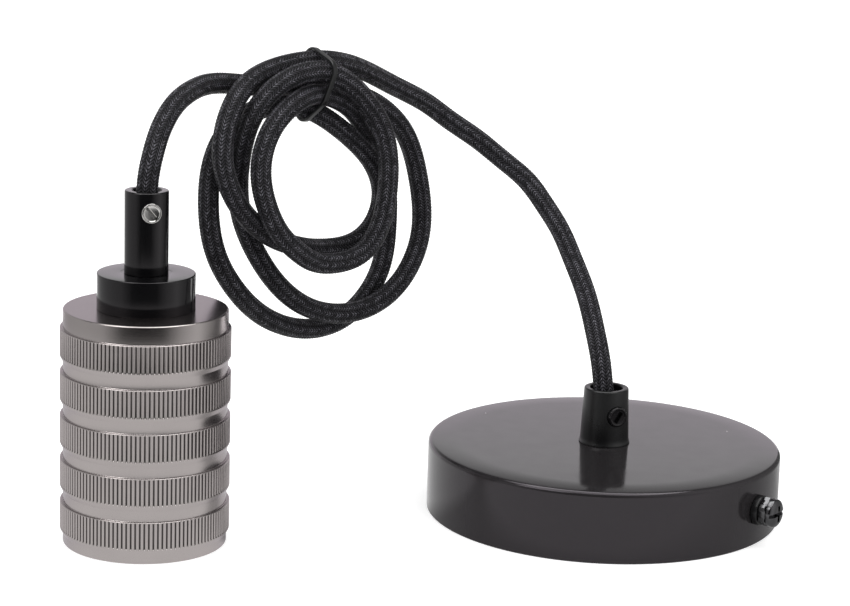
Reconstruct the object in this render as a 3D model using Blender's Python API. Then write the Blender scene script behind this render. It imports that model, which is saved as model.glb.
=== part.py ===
"""Pendant cord set: a lamp holder with a ribbed metal shell, a braided cord in a loose tied coil
and a ceiling canopy. It stands on the rim of the holder and the rim of the canopy.

Lengths are in metres. Pieces of the holder hang from an empty on the holder's axis at floor level,
and pieces of the canopy from one on the canopy's axis. Fittings that follow the canopy's side
screws hang from a third empty, turned to the screws' direction. The last step moves the whole set
so that the middle of its rigid pieces stands over the origin.
"""
import math

import bmesh
import bpy
import numpy as np
from mathutils import Vector

MM = 0.001

# Clearances
SEAT_GAP = 0.3 * MM
THREAD_GAP = 0.3 * MM

# Where the two axes stand on the floor
CANOPY_FROM_HOLDER = Vector((127.4 * MM, 40.4 * MM, 0.0))

# Holder shell: a turned cup, open below, with raised bands between plain grooves
SHELL_HEIGHT = 64.9 * MM
SHELL_BAND_RADIUS = 23.0 * MM
SHELL_GROOVE_DEPTH = 0.8 * MM
SHELL_GROOVE_RADIUS = SHELL_BAND_RADIUS - SHELL_GROOVE_DEPTH
SHELL_WALL = 1.9 * MM
SHELL_BORE = SHELL_GROOVE_RADIUS - SHELL_WALL
SHELL_TOP_THICKNESS = 2.0 * MM
SHELL_TOP_BEVEL = 0.7 * MM
SHELL_RIM_BEVEL = 0.3 * MM
BAND_COUNT = 5
BAND_SPACING = 4.35 * MM
FIRST_BAND_FOOT = 4.0 * MM
LAST_BAND_BELOW_TOP = 5.0 * MM
BAND_FOOT_SLOPE = 1.55 * MM
BAND_TOP_SLOPE = 1.25 * MM

# Threaded hollow nipple and what it clamps, all on the holder's axis
THREAD_RADIUS = 4.9 * MM
NIPPLE_BORE = 3.4 * MM
NIPPLE_TAIL = 1.0 * MM
NIPPLE_IN_GRIP = 9.0 * MM
WASHER_RADIUS = 9.0 * MM
WASHER_THICKNESS = 1.0 * MM
NUT_ACROSS_FLATS = 14.0 * MM
NUT_THICKNESS = 3.0 * MM

# Collar and cord grip of the holder
COLLAR_RADIUS = 13.25 * MM
COLLAR_HEIGHT = 9.5 * MM
COLLAR_BEVEL = 0.3 * MM
GRIP_RADIUS = 5.95 * MM
GRIP_HEIGHT = 22.1 * MM
GRIP_BORE = 3.6 * MM
GRIP_EDGE = 0.5 * MM
GRIP_SCREW_RADIUS = 2.7 * MM
GRIP_SCREW_BELOW_TOP = 5.3 * MM
GRIP_SCREW_DIRECTION = math.radians(-70.8)
GRIP_SCREW_SLOT_TURN = math.radians(40.0)
SCREW_PROUD = 0.3 * MM
SLOT_WIDTH = 1.0 * MM
SLOT_DEPTH = 1.0 * MM

# Strap that carries the socket below the nipple
STRAP_THICKNESS = 1.2 * MM
STRAP_WIDTH = 12.0 * MM
STRAP_HALF_LENGTH = 11.0 * MM
STRAP_SCREW_RADIUS = 1.4 * MM
STRAP_SCREW_LENGTH = 7.0 * MM
STRAP_SCREW_TO_LEG = 0.7 * MM
SMALL_HEAD_RADIUS = 2.4 * MM
SMALL_HEAD_HEIGHT = 1.5 * MM
SMALL_HEAD_EDGE = 0.4 * MM

# Porcelain socket body
SOCKET_CLEARANCE = 0.9 * MM
SOCKET_RADIUS = SHELL_BORE - SOCKET_CLEARANCE
SOCKET_BELOW_SHELL_TOP = 20.9 * MM
SOCKET_TOP = SHELL_HEIGHT - SOCKET_BELOW_SHELL_TOP
SOCKET_ROOF = 13.0 * MM
SOCKET_CEILING = SOCKET_TOP - SOCKET_ROOF
SOCKET_FOOT = 5.0 * MM
SOCKET_BORE = 14.3 * MM
SOCKET_EDGE = 1.2 * MM

# Screw shell: the large lamp thread, drawn as rings at its pitch
LAMP_THREAD_PITCH = 3.62 * MM
LAMP_THREAD_CREST = 12.5 * MM
LAMP_THREAD_ROOT = 13.4 * MM
SCREW_SHELL_WALL = 0.4 * MM
SCREW_SHELL_FLANGE = 0.6 * MM
SCREW_SHELL_EYE = 7.6 * MM
SHELL_RIVET_AT = 10.2 * MM
RIVET_RADIUS = 1.1 * MM
RIVET_HEAD_RADIUS = 1.8 * MM
RIVET_HEAD_HEIGHT = 0.8 * MM
RIVET_LENGTH = 4.0 * MM

# Centre contact: a folded leaf spring
CONTACT_THICKNESS = 0.6 * MM
CONTACT_WIDTH = 5.0 * MM
CONTACT_FOOT = 6.2 * MM
CONTACT_RIVET_AT = -4.0 * MM
CONTACT_REACH = 3.6 * MM
CONTACT_DROP = 5.4 * MM

# Wire terminals on top of the socket body
TERMINAL_SIZE = 7.0 * MM
TERMINAL_HEIGHT = 6.4 * MM
TERMINAL_FROM_AXIS = 8.5 * MM
TERMINAL_HOLE = 1.4 * MM
TERMINAL_HOLE_UP = 3.0 * MM
TERMINAL_SCREW_RADIUS = 1.2 * MM

# Canopy: a drawn cup, open below
CANOPY_RADIUS = 50.4 * MM
CANOPY_HEIGHT = 20.2 * MM
CANOPY_WALL = 1.0 * MM
CANOPY_EDGE = 3.0 * MM

# Cord grip of the canopy
CANOPY_GRIP_FOOT_RADIUS = 7.0 * MM
CANOPY_GRIP_TOP_RADIUS = 6.35 * MM
CANOPY_GRIP_HEIGHT = 15.8 * MM
CANOPY_GRIP_MOUTH = 4.65 * MM
CANOPY_GRIP_MOUTH_DEPTH = 10.0 * MM
CANOPY_GRIP_SKIRT = 0.8 * MM
CANOPY_GRIP_TAIL = 2.0 * MM
CANOPY_SCREW_RADIUS = 2.9 * MM
CANOPY_SCREW_BELOW_TOP = 7.2 * MM
CANOPY_SCREW_DIRECTION = math.radians(-63.1)
CANOPY_SCREW_SLOT_TURN = math.radians(-35.0)

# Side screws through the canopy's wall, and the bracket they thread into
SIDE_DIRECTION = math.radians(-35.0)
SIDE_SCREW_RADIUS = 2.0 * MM
SIDE_HEAD_RADIUS = 3.9 * MM
SIDE_HEAD_HEIGHT = 2.5 * MM
SIDE_HEAD_EDGE = 1.2 * MM
SIDE_NUT_ACROSS_FLATS = 7.0 * MM
SIDE_NUT_THICKNESS = 2.1 * MM
SIDE_WASHER_RADIUS = 4.1 * MM
SIDE_WASHER_THICKNESS = 1.6 * MM
SIDE_HEAD_GAP = 0.5 * MM
SIDE_SCREW_PAST_EAR = 2.0 * MM
BRACKET_THICKNESS = 1.5 * MM
BRACKET_WIDTH = 16.0 * MM
BRACKET_UP = 0.3 * MM
BRACKET_EAR_TO_WALL = 1.6 * MM
BRACKET_EAR_ABOVE_SCREW = 4.6 * MM
BRACKET_FOLD = 2.4 * MM
BRACKET_EYE = 5.2 * MM
FIXING_SLOT_RADIUS = 2.5 * MM
FIXING_SLOT_LENGTH = 14.0 * MM
FIXING_SLOT_AT = 37.0 * MM

# Terminal block on the bracket
BLOCK_LENGTH = 13.0 * MM
BLOCK_WIDTH = 24.0 * MM
BLOCK_HEIGHT = 10.5 * MM
BLOCK_AT = 21.5 * MM
BLOCK_POLES = 3
BLOCK_POLE_PITCH = 7.6 * MM
BLOCK_HOLE = 1.6 * MM
BLOCK_HOLE_UP = 4.5 * MM
BLOCK_SCREW_RADIUS = 1.5 * MM
BLOCK_SCREW_HEAD = 2.2 * MM
BLOCK_SCREW_HEIGHT = 1.2 * MM
BLOCK_SCREW_DEPTH = 3.0 * MM
EARTH_SCREW_AT = -17.0 * MM
EARTH_SCREW_RADIUS = 1.7 * MM

# Cores of the cord: how they lie inside it, and the bends of their ends
CORE_RADIUS = 1.1 * MM
CORE_FROM_AXIS = 1.7 * MM
CORE_POINT_COUNT = 22
CORE_SPREAD = 4.0 * MM
CORE_BEFORE_BLOCK = 2.0 * MM
CORE_ABOVE_BEND = 0.3 * MM
EARTH_CORE_ASIDE = 1.0 * MM
EARTH_CORE_FIRST_BEND = 4.5 * MM
EARTH_CORE_SECOND_BEND = 9.0 * MM

# Cord: its ends stand in the two grips, and its coil hangs between them in a turned upright plane
CORD_DIAMETER = 5.9 * MM
CORD_POINT_COUNT = 82
CORD_IN_HOLDER = 25.0 * MM
CORD_IN_CANOPY = 12.0 * MM

# Cord from the middle of the holder's mouth to the coil, in millimetres
HOLDER_LEAD = [
    (0.0, 0.0, -25.0), (0.0, 0.0, -18.0), (0.0, 0.0, -11.0), (0.0, 0.0, -4.0),
    (0.3, 0.4, 3.0), (0.8, 1.2, 6.5), (1.5, 2.7, 10.0), (2.2, 4.8, 13.0),
    (3.6, 8.5, 17.0), (6.0, 14.0, 21.0), (9.2, 20.3, 23.5), (12.9, 26.0, 24.7),
]

# Coil: middle from the holder's mouth, direction of its plane, and at each of the clock positions
# in turn the strand's distance from the middle and its layer towards the front, in millimetres
COIL_MIDDLE = (43.0, 42.0, -7.1)
COIL_DIRECTION = math.radians(40.0)
COIL_POSITIONS = 16
COIL_FIRST_POSITION = 5
COIL_STRANDS = [
    (32.5, -7.5), (30.0, -5.5), (30.0, -5.5), (33.0, -4.5), (37.0, -3.5), (39.5, -2.5),
    (43.0, -1.0), (42.5, 1.0), (39.0, 1.5), (34.0, 0.5), (29.0, 0.0), (25.5, -1.0),
    (24.0, -2.5), (25.5, -1.5), (29.0, 0.5), (33.7, 2.2), (36.1, 4.1), (34.5, 5.5),
    (29.0, 7.0), (24.5, 8.0), (20.0, 9.5), (17.5, 10.5), (17.5, 10.5), (18.0, 11.0),
    (18.5, 11.0), (18.5, 10.5), (19.0, 10.0), (19.5, 10.5), (21.5, 10.5), (24.0, 9.5),
    (27.5, 8.5), (30.0, 8.0), (30.0, 6.5), (27.9, 2.5), (25.9, 1.1), (24.5, -0.5),
    (25.5, -2.0), (27.5, -2.5), (31.0, -3.0), (38.5, -4.5), (42.0, -5.0), (40.5, -4.0),
    (38.0, -3.0), (36.5, -1.5), (36.0, -1.5), (35.0, -2.5), (34.0, -4.5), (31.5, -5.0),
    (27.0, -3.0), (22.7, -2.0), (19.3, 0.3), (18.6, 1.1), (19.5, 2.5), (20.5, 4.0),
    (20.5, 4.5), (19.5, 4.0), (17.5, 2.5), (16.0, 2.0), (16.0, 3.5), (18.0, 3.5),
    (22.5, 4.0), (30.0, 4.5), (38.0, 4.0), (40.4, 0.8), (38.0, -3.0), (37.0, -1.5),
]

# Cord from the coil to the middle of the canopy's mouth, in millimetres
CANOPY_LEAD = [
    (-71.0, 19.5, 85.6), (-62.5, 28.5, 80.1), (-53.5, 34.5, 74.6), (-47.0, 37.5, 69.6),
    (-39.0, 39.5, 64.1), (-30.5, 39.5, 57.6), (-23.5, 37.5, 52.1), (-18.5, 34.5, 46.1),
    (-13.5, 29.5, 39.1), (-10.0, 24.5, 32.1), (-7.0, 18.4, 25.7), (-4.9, 12.3, 19.8),
    (-3.4, 7.2, 14.0), (-1.7, 2.0, 6.0), (-0.8, 0.1, -1.0), (-0.2, -0.1, -6.0),
    (0.0, 0.0, -12.0),
]

# Tie round the top of the coil: its plane leans along the coil's and passes one point of it, given
# in millimetres along and above the coil's middle
TIE_WIDTH = 1.8 * MM
TIE_THICKNESS = 0.8 * MM
TIE_GAP = 0.8 * MM
TIE_POINT = (-1.5, 31.0)
TIE_LEAN = math.radians(82.0)
TIE_REACH = 16.0 * MM
TIE_POINT_COUNT = 28


def clear_scene():
    """Empty the scene of whatever it opened with."""
    for item in list(bpy.data.objects):
        bpy.data.objects.remove(item)


def finish(name, colour, roughness, metallic):
    """Make one surface finish."""
    made = bpy.data.materials.new(name)
    made.use_nodes = True
    shader = made.node_tree.nodes["Principled BSDF"]
    shader.inputs["Base Color"].default_value = (*colour, 1.0)
    shader.inputs["Roughness"].default_value = roughness
    shader.inputs["Metallic"].default_value = metallic
    return made


def empty(name, place, turn=0.0, parent=None):
    """Make an empty that pieces are placed from."""
    made = bpy.data.objects.new(name, None)
    made.location = place
    made.rotation_euler = (0.0, 0.0, turn)
    made.parent = parent
    bpy.context.collection.objects.link(made)
    return made


def add(name, bm, surface, parent, place=(0.0, 0.0, 0.0), turn=(0.0, 0.0, 0.0)):
    """Make an object of a closed bmesh, facing outwards, and shade its round faces smooth."""
    bmesh.ops.remove_doubles(bm, verts=bm.verts, dist=1e-7)
    bmesh.ops.recalc_face_normals(bm, faces=bm.faces)
    mesh = bpy.data.meshes.new(name)
    bm.to_mesh(mesh)
    bm.free()
    mesh.shade_smooth()
    mesh.set_sharp_from_angle(angle=math.radians(30.0))
    made = bpy.data.objects.new(name, mesh)
    made.location = place
    made.rotation_euler = turn
    made.parent = parent
    if surface is not None:
        mesh.materials.append(surface)
    bpy.context.collection.objects.link(made)
    return made


def turned_body(outline, steps):
    """Spin a closed outline of (radius, height) points round the Z axis."""
    bm = bmesh.new()
    points = [bm.verts.new((radius, 0.0, height)) for radius, height in outline]
    edges = []
    for first, second in zip(points, points[1:] + points[:1]):
        if first.co.x > 0.0 or second.co.x > 0.0:
            edges.append(bm.edges.new((first, second)))
    bmesh.ops.spin(bm, geom=points + edges, cent=(0, 0, 0), axis=(0, 0, 1),
                   angle=math.tau, steps=steps, use_merge=True)
    return bm


def prism_body(corners, low, high):
    """Raise a flat outline of (x, y) corners from one height to another."""
    bm = bmesh.new()
    face = bm.faces.new([bm.verts.new((x, y, low)) for x, y in corners])
    raised = bmesh.ops.extrude_face_region(bm, geom=[face])
    top = [item for item in raised["geom"] if isinstance(item, bmesh.types.BMVert)]
    bmesh.ops.translate(bm, verts=top, vec=(0.0, 0.0, high - low))
    return bm


def circle(radius, sides, turn=0.0):
    """Corners of a regular outline, first corner in direction turn."""
    angles = np.arange(sides) * math.tau / sides + turn
    return list(zip(radius * np.cos(angles), radius * np.sin(angles)))


def rectangle(length, width, middle=(0.0, 0.0)):
    """Corners of a rectangle along X and Y."""
    x, y = middle
    return [(x - length / 2, y - width / 2), (x + length / 2, y - width / 2),
            (x + length / 2, y + width / 2), (x - length / 2, y + width / 2)]


def cut(target, name, bm, place=(0.0, 0.0, 0.0), turn=(0.0, 0.0, 0.0), parent=None):
    """Take a shape out of an object, with the shape kept as a hidden cutter."""
    cutter = add(name, bm, None, parent or target.parent, place, turn)
    cutter.hide_render = True
    cutter.display_type = "WIRE"
    boolean = target.modifiers.new(name, "BOOLEAN")
    boolean.operation = "DIFFERENCE"
    boolean.solver = "EXACT"
    boolean.object = cutter
    cutter.hide_viewport = False
    return cutter


def radial_turn(direction):
    """Rotation that points local Z outwards along a level direction."""
    return (0.0, math.pi / 2, direction)


def radial_place(distance, direction, height):
    """Point at a distance from the axis, in a level direction, at a height."""
    return (distance * math.cos(direction), distance * math.sin(direction), height)


def smooth_route(points, count):
    """Read points evenly from the natural cubic spline through route points.

    The spline's parameter is the length along the chords, and its second derivatives solve the
    usual three-term equations with zero at both ends.
    """
    points = np.asarray(points, float)
    along = np.concatenate(([0.0], np.cumsum(np.linalg.norm(np.diff(points, axis=0), axis=1))))
    spans = np.diff(along)
    slopes = np.diff(points, axis=0) / spans[:, None]
    inner = len(points) - 2
    matrix = np.eye(len(points))
    rows = np.arange(1, inner + 1)
    matrix[rows, rows - 1] = spans[:-1]
    matrix[rows, rows] = 2 * (spans[:-1] + spans[1:])
    matrix[rows, rows + 1] = spans[1:]
    right = np.zeros_like(points)
    right[1:-1] = 6 * np.diff(slopes, axis=0)
    bends = np.linalg.solve(matrix, right)
    read = np.linspace(0.0, along[-1], count)
    span = np.clip(np.searchsorted(along, read, side="right") - 1, 0, inner)
    after = (along[span + 1] - read)[:, None]
    before = (read - along[span])[:, None]
    width = spans[span][:, None]
    return (bends[span] * after ** 3 / (6 * width) + bends[span + 1] * before ** 3 / (6 * width)
            + (points[span] / width - bends[span] * width / 6) * after
            + (points[span + 1] / width - bends[span + 1] * width / 6) * before)


def tube(name, points, radius, surface, parent, resolution):
    """Make a round cord through points, with filled ends."""
    curve = bpy.data.curves.new(name, "CURVE")
    curve.dimensions = "3D"
    curve.bevel_depth = radius
    curve.bevel_resolution = resolution
    curve.use_fill_caps = True
    spline = curve.splines.new("POLY")
    spline.points.add(len(points) - 1)
    flat = np.column_stack((points, np.ones(len(points)))).ravel()
    spline.points.foreach_set("co", flat)
    spline.use_smooth = True
    curve.materials.append(surface)
    made = bpy.data.objects.new(name, curve)
    made.parent = parent
    bpy.context.collection.objects.link(made)
    return made


def screw_outline(shank, length, head, height, edge):
    """Outline of a headed screw: head above local zero, shank below it."""
    return [(0.0, -length), (shank, -length), (shank, 0.0), (head, 0.0),
            (head, height - edge), (head - edge, height), (0.0, height)]


def slotted_screw(name, shank, length, head, height, edge, surface, parent, place, turn=(0, 0, 0)):
    """Make a screw with a round head and a straight slot."""
    made = add(name, turned_body(screw_outline(shank, length, head, height, edge), 16),
               surface, parent, place, turn)
    slot = prism_body(rectangle(2.4 * head, 0.3 * head), height - 0.45 * height, 2 * height)
    cut(made, name + "_slot", slot, place, turn)
    return made


def grub_screw(name, radius, inner, outer, direction, height, slot_turn, surface, parent):
    """Make a headless slotted screw between two distances from the axis."""
    edge = 0.35 * MM
    outline = [(0.0, inner), (radius - edge, inner), (radius, inner + edge),
               (radius, outer - edge), (radius - edge, outer), (0.0, outer)]
    turn = radial_turn(direction)
    place = (0.0, 0.0, height)
    made = add(name, turned_body(outline, 24), surface, parent, place, turn)
    slot = prism_body(
        [(x * math.cos(slot_turn) - y * math.sin(slot_turn),
          x * math.sin(slot_turn) + y * math.cos(slot_turn))
         for x, y in rectangle(1.5 * radius, SLOT_WIDTH)],
        outer - SLOT_DEPTH, outer + SLOT_DEPTH)
    cut(made, name + "_slot", slot, place, turn)
    return made


def ring(name, outer, inner, low, high, surface, parent, sides=32, place=(0, 0, 0), turn=(0, 0, 0)):
    """Make a flat washer."""
    outline = [(inner, low), (outer, low), (outer, high), (inner, high)]
    return add(name, turned_body(outline, sides), surface, parent, place, turn)


def hex_nut(name, across_flats, bore, low, high, surface, parent, place=(0, 0, 0), turn=(0, 0, 0)):
    """Make a hexagon nut with a plain bore."""
    corners = circle(across_flats / 2 / math.cos(math.pi / 6), 6)
    made = add(name, prism_body(corners, low, high), surface, parent, place, turn)
    hole = prism_body(circle(bore, 24), low - (high - low), high + (high - low))
    cut(made, name + "_bore", hole, place, turn)
    return made


def shell_outline():
    """Outline of the holder's shell: up the outside over the bands, and down the inside."""
    points = [(SHELL_BORE, 0.0), (SHELL_GROOVE_RADIUS - SHELL_RIM_BEVEL, 0.0),
              (SHELL_GROOVE_RADIUS, SHELL_RIM_BEVEL)]
    banded = SHELL_HEIGHT - LAST_BAND_BELOW_TOP - FIRST_BAND_FOOT
    band_height = (banded - (BAND_COUNT - 1) * BAND_SPACING) / BAND_COUNT
    for band in range(BAND_COUNT):
        foot = FIRST_BAND_FOOT + band * (band_height + BAND_SPACING)
        head = foot + band_height
        points += [(SHELL_GROOVE_RADIUS, foot - BAND_FOOT_SLOPE), (SHELL_BAND_RADIUS, foot),
                   (SHELL_BAND_RADIUS, head), (SHELL_GROOVE_RADIUS, head + BAND_TOP_SLOPE)]
    ceiling = SHELL_HEIGHT - SHELL_TOP_THICKNESS
    eye = THREAD_RADIUS + THREAD_GAP
    points += [(SHELL_GROOVE_RADIUS, SHELL_HEIGHT - SHELL_TOP_BEVEL),
               (SHELL_GROOVE_RADIUS - SHELL_TOP_BEVEL, SHELL_HEIGHT),
               (eye, SHELL_HEIGHT), (eye, ceiling), (SHELL_BORE, ceiling)]
    return points


def holder_levels():
    """Heights of the pieces that the nipple clamps, worked down from the shell's top plate."""
    washer_top = SHELL_HEIGHT - SHELL_TOP_THICKNESS - SEAT_GAP
    nut_top = washer_top - WASHER_THICKNESS - SEAT_GAP
    strap_top = nut_top - NUT_THICKNESS - SEAT_GAP
    lower_nut_top = strap_top - STRAP_THICKNESS - SEAT_GAP
    collar_foot = SHELL_HEIGHT + SEAT_GAP
    grip_foot = collar_foot + COLLAR_HEIGHT + SEAT_GAP
    return {
        "washer_top": washer_top, "nut_top": nut_top, "strap_top": strap_top,
        "lower_nut_top": lower_nut_top, "nipple_end": lower_nut_top - NUT_THICKNESS - NIPPLE_TAIL,
        "collar_foot": collar_foot, "grip_foot": grip_foot, "mouth": grip_foot + GRIP_HEIGHT,
        "nipple_top": grip_foot + NIPPLE_IN_GRIP,
    }


def make_holder_outside(axis, finishes):
    """Shell, collar, cord grip and clamping screw."""
    level = holder_levels()
    eye = THREAD_RADIUS + THREAD_GAP
    add("holder_shell", turned_body(shell_outline(), 60), finishes["gunmetal"], axis)
    foot = level["collar_foot"]
    top = foot + COLLAR_HEIGHT
    add("shell_collar", turned_body([
        (eye, foot), (COLLAR_RADIUS, foot), (COLLAR_RADIUS, top - COLLAR_BEVEL),
        (COLLAR_RADIUS - COLLAR_BEVEL, top), (eye, top)], 48), finishes["black_polish"], axis)
    foot = level["grip_foot"]
    mouth = level["mouth"]
    step = level["nipple_top"] + SEAT_GAP
    grip = add("holder_cord_grip", turned_body([
        (eye, foot), (GRIP_RADIUS, foot), (GRIP_RADIUS, mouth - GRIP_EDGE),
        (GRIP_RADIUS - GRIP_EDGE, mouth), (GRIP_BORE + GRIP_EDGE, mouth),
        (GRIP_BORE, mouth - GRIP_EDGE), (GRIP_BORE, step), (eye, step)], 36),
        finishes["black_polish"], axis)
    height = mouth - GRIP_SCREW_BELOW_TOP
    hole = prism_body(circle(GRIP_SCREW_RADIUS + THREAD_GAP, 24), GRIP_BORE / 2, 2 * GRIP_RADIUS)
    cut(grip, "holder_grip_screw_hole", hole, (0, 0, height), radial_turn(GRIP_SCREW_DIRECTION))
    grub_screw("holder_grip_screw", GRIP_SCREW_RADIUS, CORD_DIAMETER / 2 + SEAT_GAP,
               GRIP_RADIUS + SCREW_PROUD, GRIP_SCREW_DIRECTION, height, GRIP_SCREW_SLOT_TURN,
               finishes["nickel"], axis)


def make_nipple_stack(axis, finishes):
    """Hollow nipple through the shell's top, with its washer, nuts and the socket's strap."""
    level = holder_levels()
    eye = THREAD_RADIUS + THREAD_GAP
    low = level["nipple_end"]
    ring("holder_nipple", THREAD_RADIUS, NIPPLE_BORE, low, level["nipple_top"],
         finishes["zinc"], axis, 24)
    high = level["washer_top"]
    ring("nipple_washer", WASHER_RADIUS, eye, high - WASHER_THICKNESS, high, finishes["zinc"], axis)
    high = level["nut_top"]
    hex_nut("nipple_nut", NUT_ACROSS_FLATS, eye, high - NUT_THICKNESS, high,
            finishes["zinc"], axis)
    high = level["lower_nut_top"]
    hex_nut("strap_nut", NUT_ACROSS_FLATS, eye, high - NUT_THICKNESS, high, finishes["zinc"], axis)


def strap_outline():
    """Side outline of the socket's strap: flat top, two legs and two feet turned outwards.

    The corners of the feet reach the edge of the socket body.
    """
    level = holder_levels()
    top = level["strap_top"]
    under = top - STRAP_THICKNESS
    foot = SOCKET_TOP + SEAT_GAP
    step = foot + STRAP_THICKNESS
    leg = STRAP_HALF_LENGTH
    inner = leg - STRAP_THICKNESS
    end = math.sqrt(SOCKET_RADIUS ** 2 - (STRAP_WIDTH / 2) ** 2)
    right = [(leg, top), (leg, step), (end, step), (end, foot), (inner, foot), (inner, under)]
    left = [(-x, z) for x, z in reversed(right)]
    return right + left


def make_socket(axis, finishes):
    """Strap, porcelain body, screw shell, centre contact, rivets and terminals."""
    level = holder_levels()
    level_turn = (math.pi / 2, 0.0, 0.0)
    strap = add("socket_strap", prism_body(strap_outline(), -STRAP_WIDTH / 2, STRAP_WIDTH / 2),
                finishes["zinc"], axis, turn=level_turn)
    strap_top = level["strap_top"]
    cut(strap, "socket_strap_eye", prism_body(circle(THREAD_RADIUS + THREAD_GAP, 24),
                                              strap_top - 2 * STRAP_THICKNESS, strap_top + STRAP_THICKNESS))
    body = add("socket_body", turned_body([
        (SOCKET_BORE, SOCKET_FOOT), (SOCKET_RADIUS - SOCKET_EDGE, SOCKET_FOOT),
        (SOCKET_RADIUS, SOCKET_FOOT + SOCKET_EDGE), (SOCKET_RADIUS, SOCKET_TOP - SOCKET_EDGE),
        (SOCKET_RADIUS - SOCKET_EDGE, SOCKET_TOP), (0.0, SOCKET_TOP), (0.0, SOCKET_CEILING),
        (SOCKET_BORE, SOCKET_CEILING)], 48), finishes["porcelain"], axis)
    foot_top = SOCKET_TOP + SEAT_GAP + STRAP_THICKNESS
    for name, side in (("strap_screw_right", 1), ("strap_screw_left", -1)):
        distance = STRAP_HALF_LENGTH + STRAP_SCREW_TO_LEG + SMALL_HEAD_RADIUS
        place = (side * distance, 0.0, foot_top + SEAT_GAP)
        slotted_screw(name, STRAP_SCREW_RADIUS, STRAP_SCREW_LENGTH, SMALL_HEAD_RADIUS,
                      SMALL_HEAD_HEIGHT, SMALL_HEAD_EDGE, finishes["zinc"], axis, place)
        depth = STRAP_SCREW_LENGTH + SEAT_GAP
        hole = prism_body(circle(STRAP_SCREW_RADIUS + THREAD_GAP, 16), -depth, depth)
        cut(strap, name + "_strap_hole", hole, place)
        hole = prism_body(circle(STRAP_SCREW_RADIUS + THREAD_GAP, 16), -depth, depth)
        cut(body, name + "_body_hole", hole, place)
    make_screw_shell(axis, finishes, body)
    make_centre_contact(axis, finishes, body)
    make_terminals(axis, finishes)


def make_screw_shell(axis, finishes, body):
    """Thread sleeve for the lamp, flanged at its top and riveted to the socket body.

    It has as many whole turns of the lamp's thread as fit between its flange and the body's foot.
    """
    flange_top = SOCKET_CEILING - SEAT_GAP
    flange_under = flange_top - SCREW_SHELL_FLANGE
    turns = int((flange_under - SOCKET_FOOT) / LAMP_THREAD_PITCH)
    inside = []
    for turn in range(turns):
        height = flange_under - LAMP_THREAD_PITCH / 2 - turn * LAMP_THREAD_PITCH
        inside += [(LAMP_THREAD_CREST, height), (LAMP_THREAD_ROOT, height - LAMP_THREAD_PITCH / 2)]
    start = (LAMP_THREAD_ROOT, flange_under)
    outside = [(radius + SCREW_SHELL_WALL, height) for radius, height in reversed(inside)]
    corner = (LAMP_THREAD_ROOT + SCREW_SHELL_WALL, flange_top)
    outline = [(SCREW_SHELL_EYE, flange_top), (SCREW_SHELL_EYE, flange_under), start]
    outline += inside + outside + [corner]
    shell = add("screw_shell", turned_body(outline, 36), finishes["brass"], axis)
    for name, side in (("shell_rivet_front", -1), ("shell_rivet_back", 1)):
        place = (0.0, side * SHELL_RIVET_AT, flange_under - SEAT_GAP)
        make_rivet(name, place, axis, finishes, [shell, body])


def make_rivet(name, place, axis, finishes, held):
    """Rivet with its head below, through holes in what it holds."""
    outline = [(0.0, RIVET_LENGTH), (0.0, -RIVET_HEAD_HEIGHT),
               (RIVET_HEAD_RADIUS - 0.3 * MM, -RIVET_HEAD_HEIGHT),
               (RIVET_HEAD_RADIUS, 0.3 * MM - RIVET_HEAD_HEIGHT), (RIVET_HEAD_RADIUS, 0.0),
               (RIVET_RADIUS, 0.0), (RIVET_RADIUS, RIVET_LENGTH)]
    add(name, turned_body(outline, 16), finishes["brass"], axis, place)
    for item in held:
        reach = RIVET_LENGTH + SEAT_GAP
        hole = prism_body(circle(RIVET_RADIUS + THREAD_GAP, 16), -reach, reach)
        cut(item, f"{name}_{item.name}_hole", hole, place)


def make_centre_contact(axis, finishes, body):
    """Leaf spring that the lamp's tip presses, riveted to the socket's ceiling."""
    top = SOCKET_CEILING - SEAT_GAP
    thick = CONTACT_THICKNESS
    reach = CONTACT_REACH
    low = top - CONTACT_DROP
    outline = [
        (-CONTACT_FOOT, top), (-CONTACT_FOOT, top - thick), (0.15 * reach, top - thick),
        (0.7 * reach, top - 0.35 * CONTACT_DROP), (0.35 * reach, low + thick),
        (-reach, low), (-reach, low - thick), (0.55 * reach, low),
        (0.7 * reach + thick, top - 0.35 * CONTACT_DROP), (0.35 * reach, top)]
    contact = add("centre_contact", prism_body(outline, -CONTACT_WIDTH / 2, CONTACT_WIDTH / 2),
                  finishes["brass"], axis, turn=(math.pi / 2, 0.0, 0.0))
    place = (CONTACT_RIVET_AT, 0.0, top - thick - SEAT_GAP)
    make_rivet("centre_rivet", place, axis, finishes, [contact, body])


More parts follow.
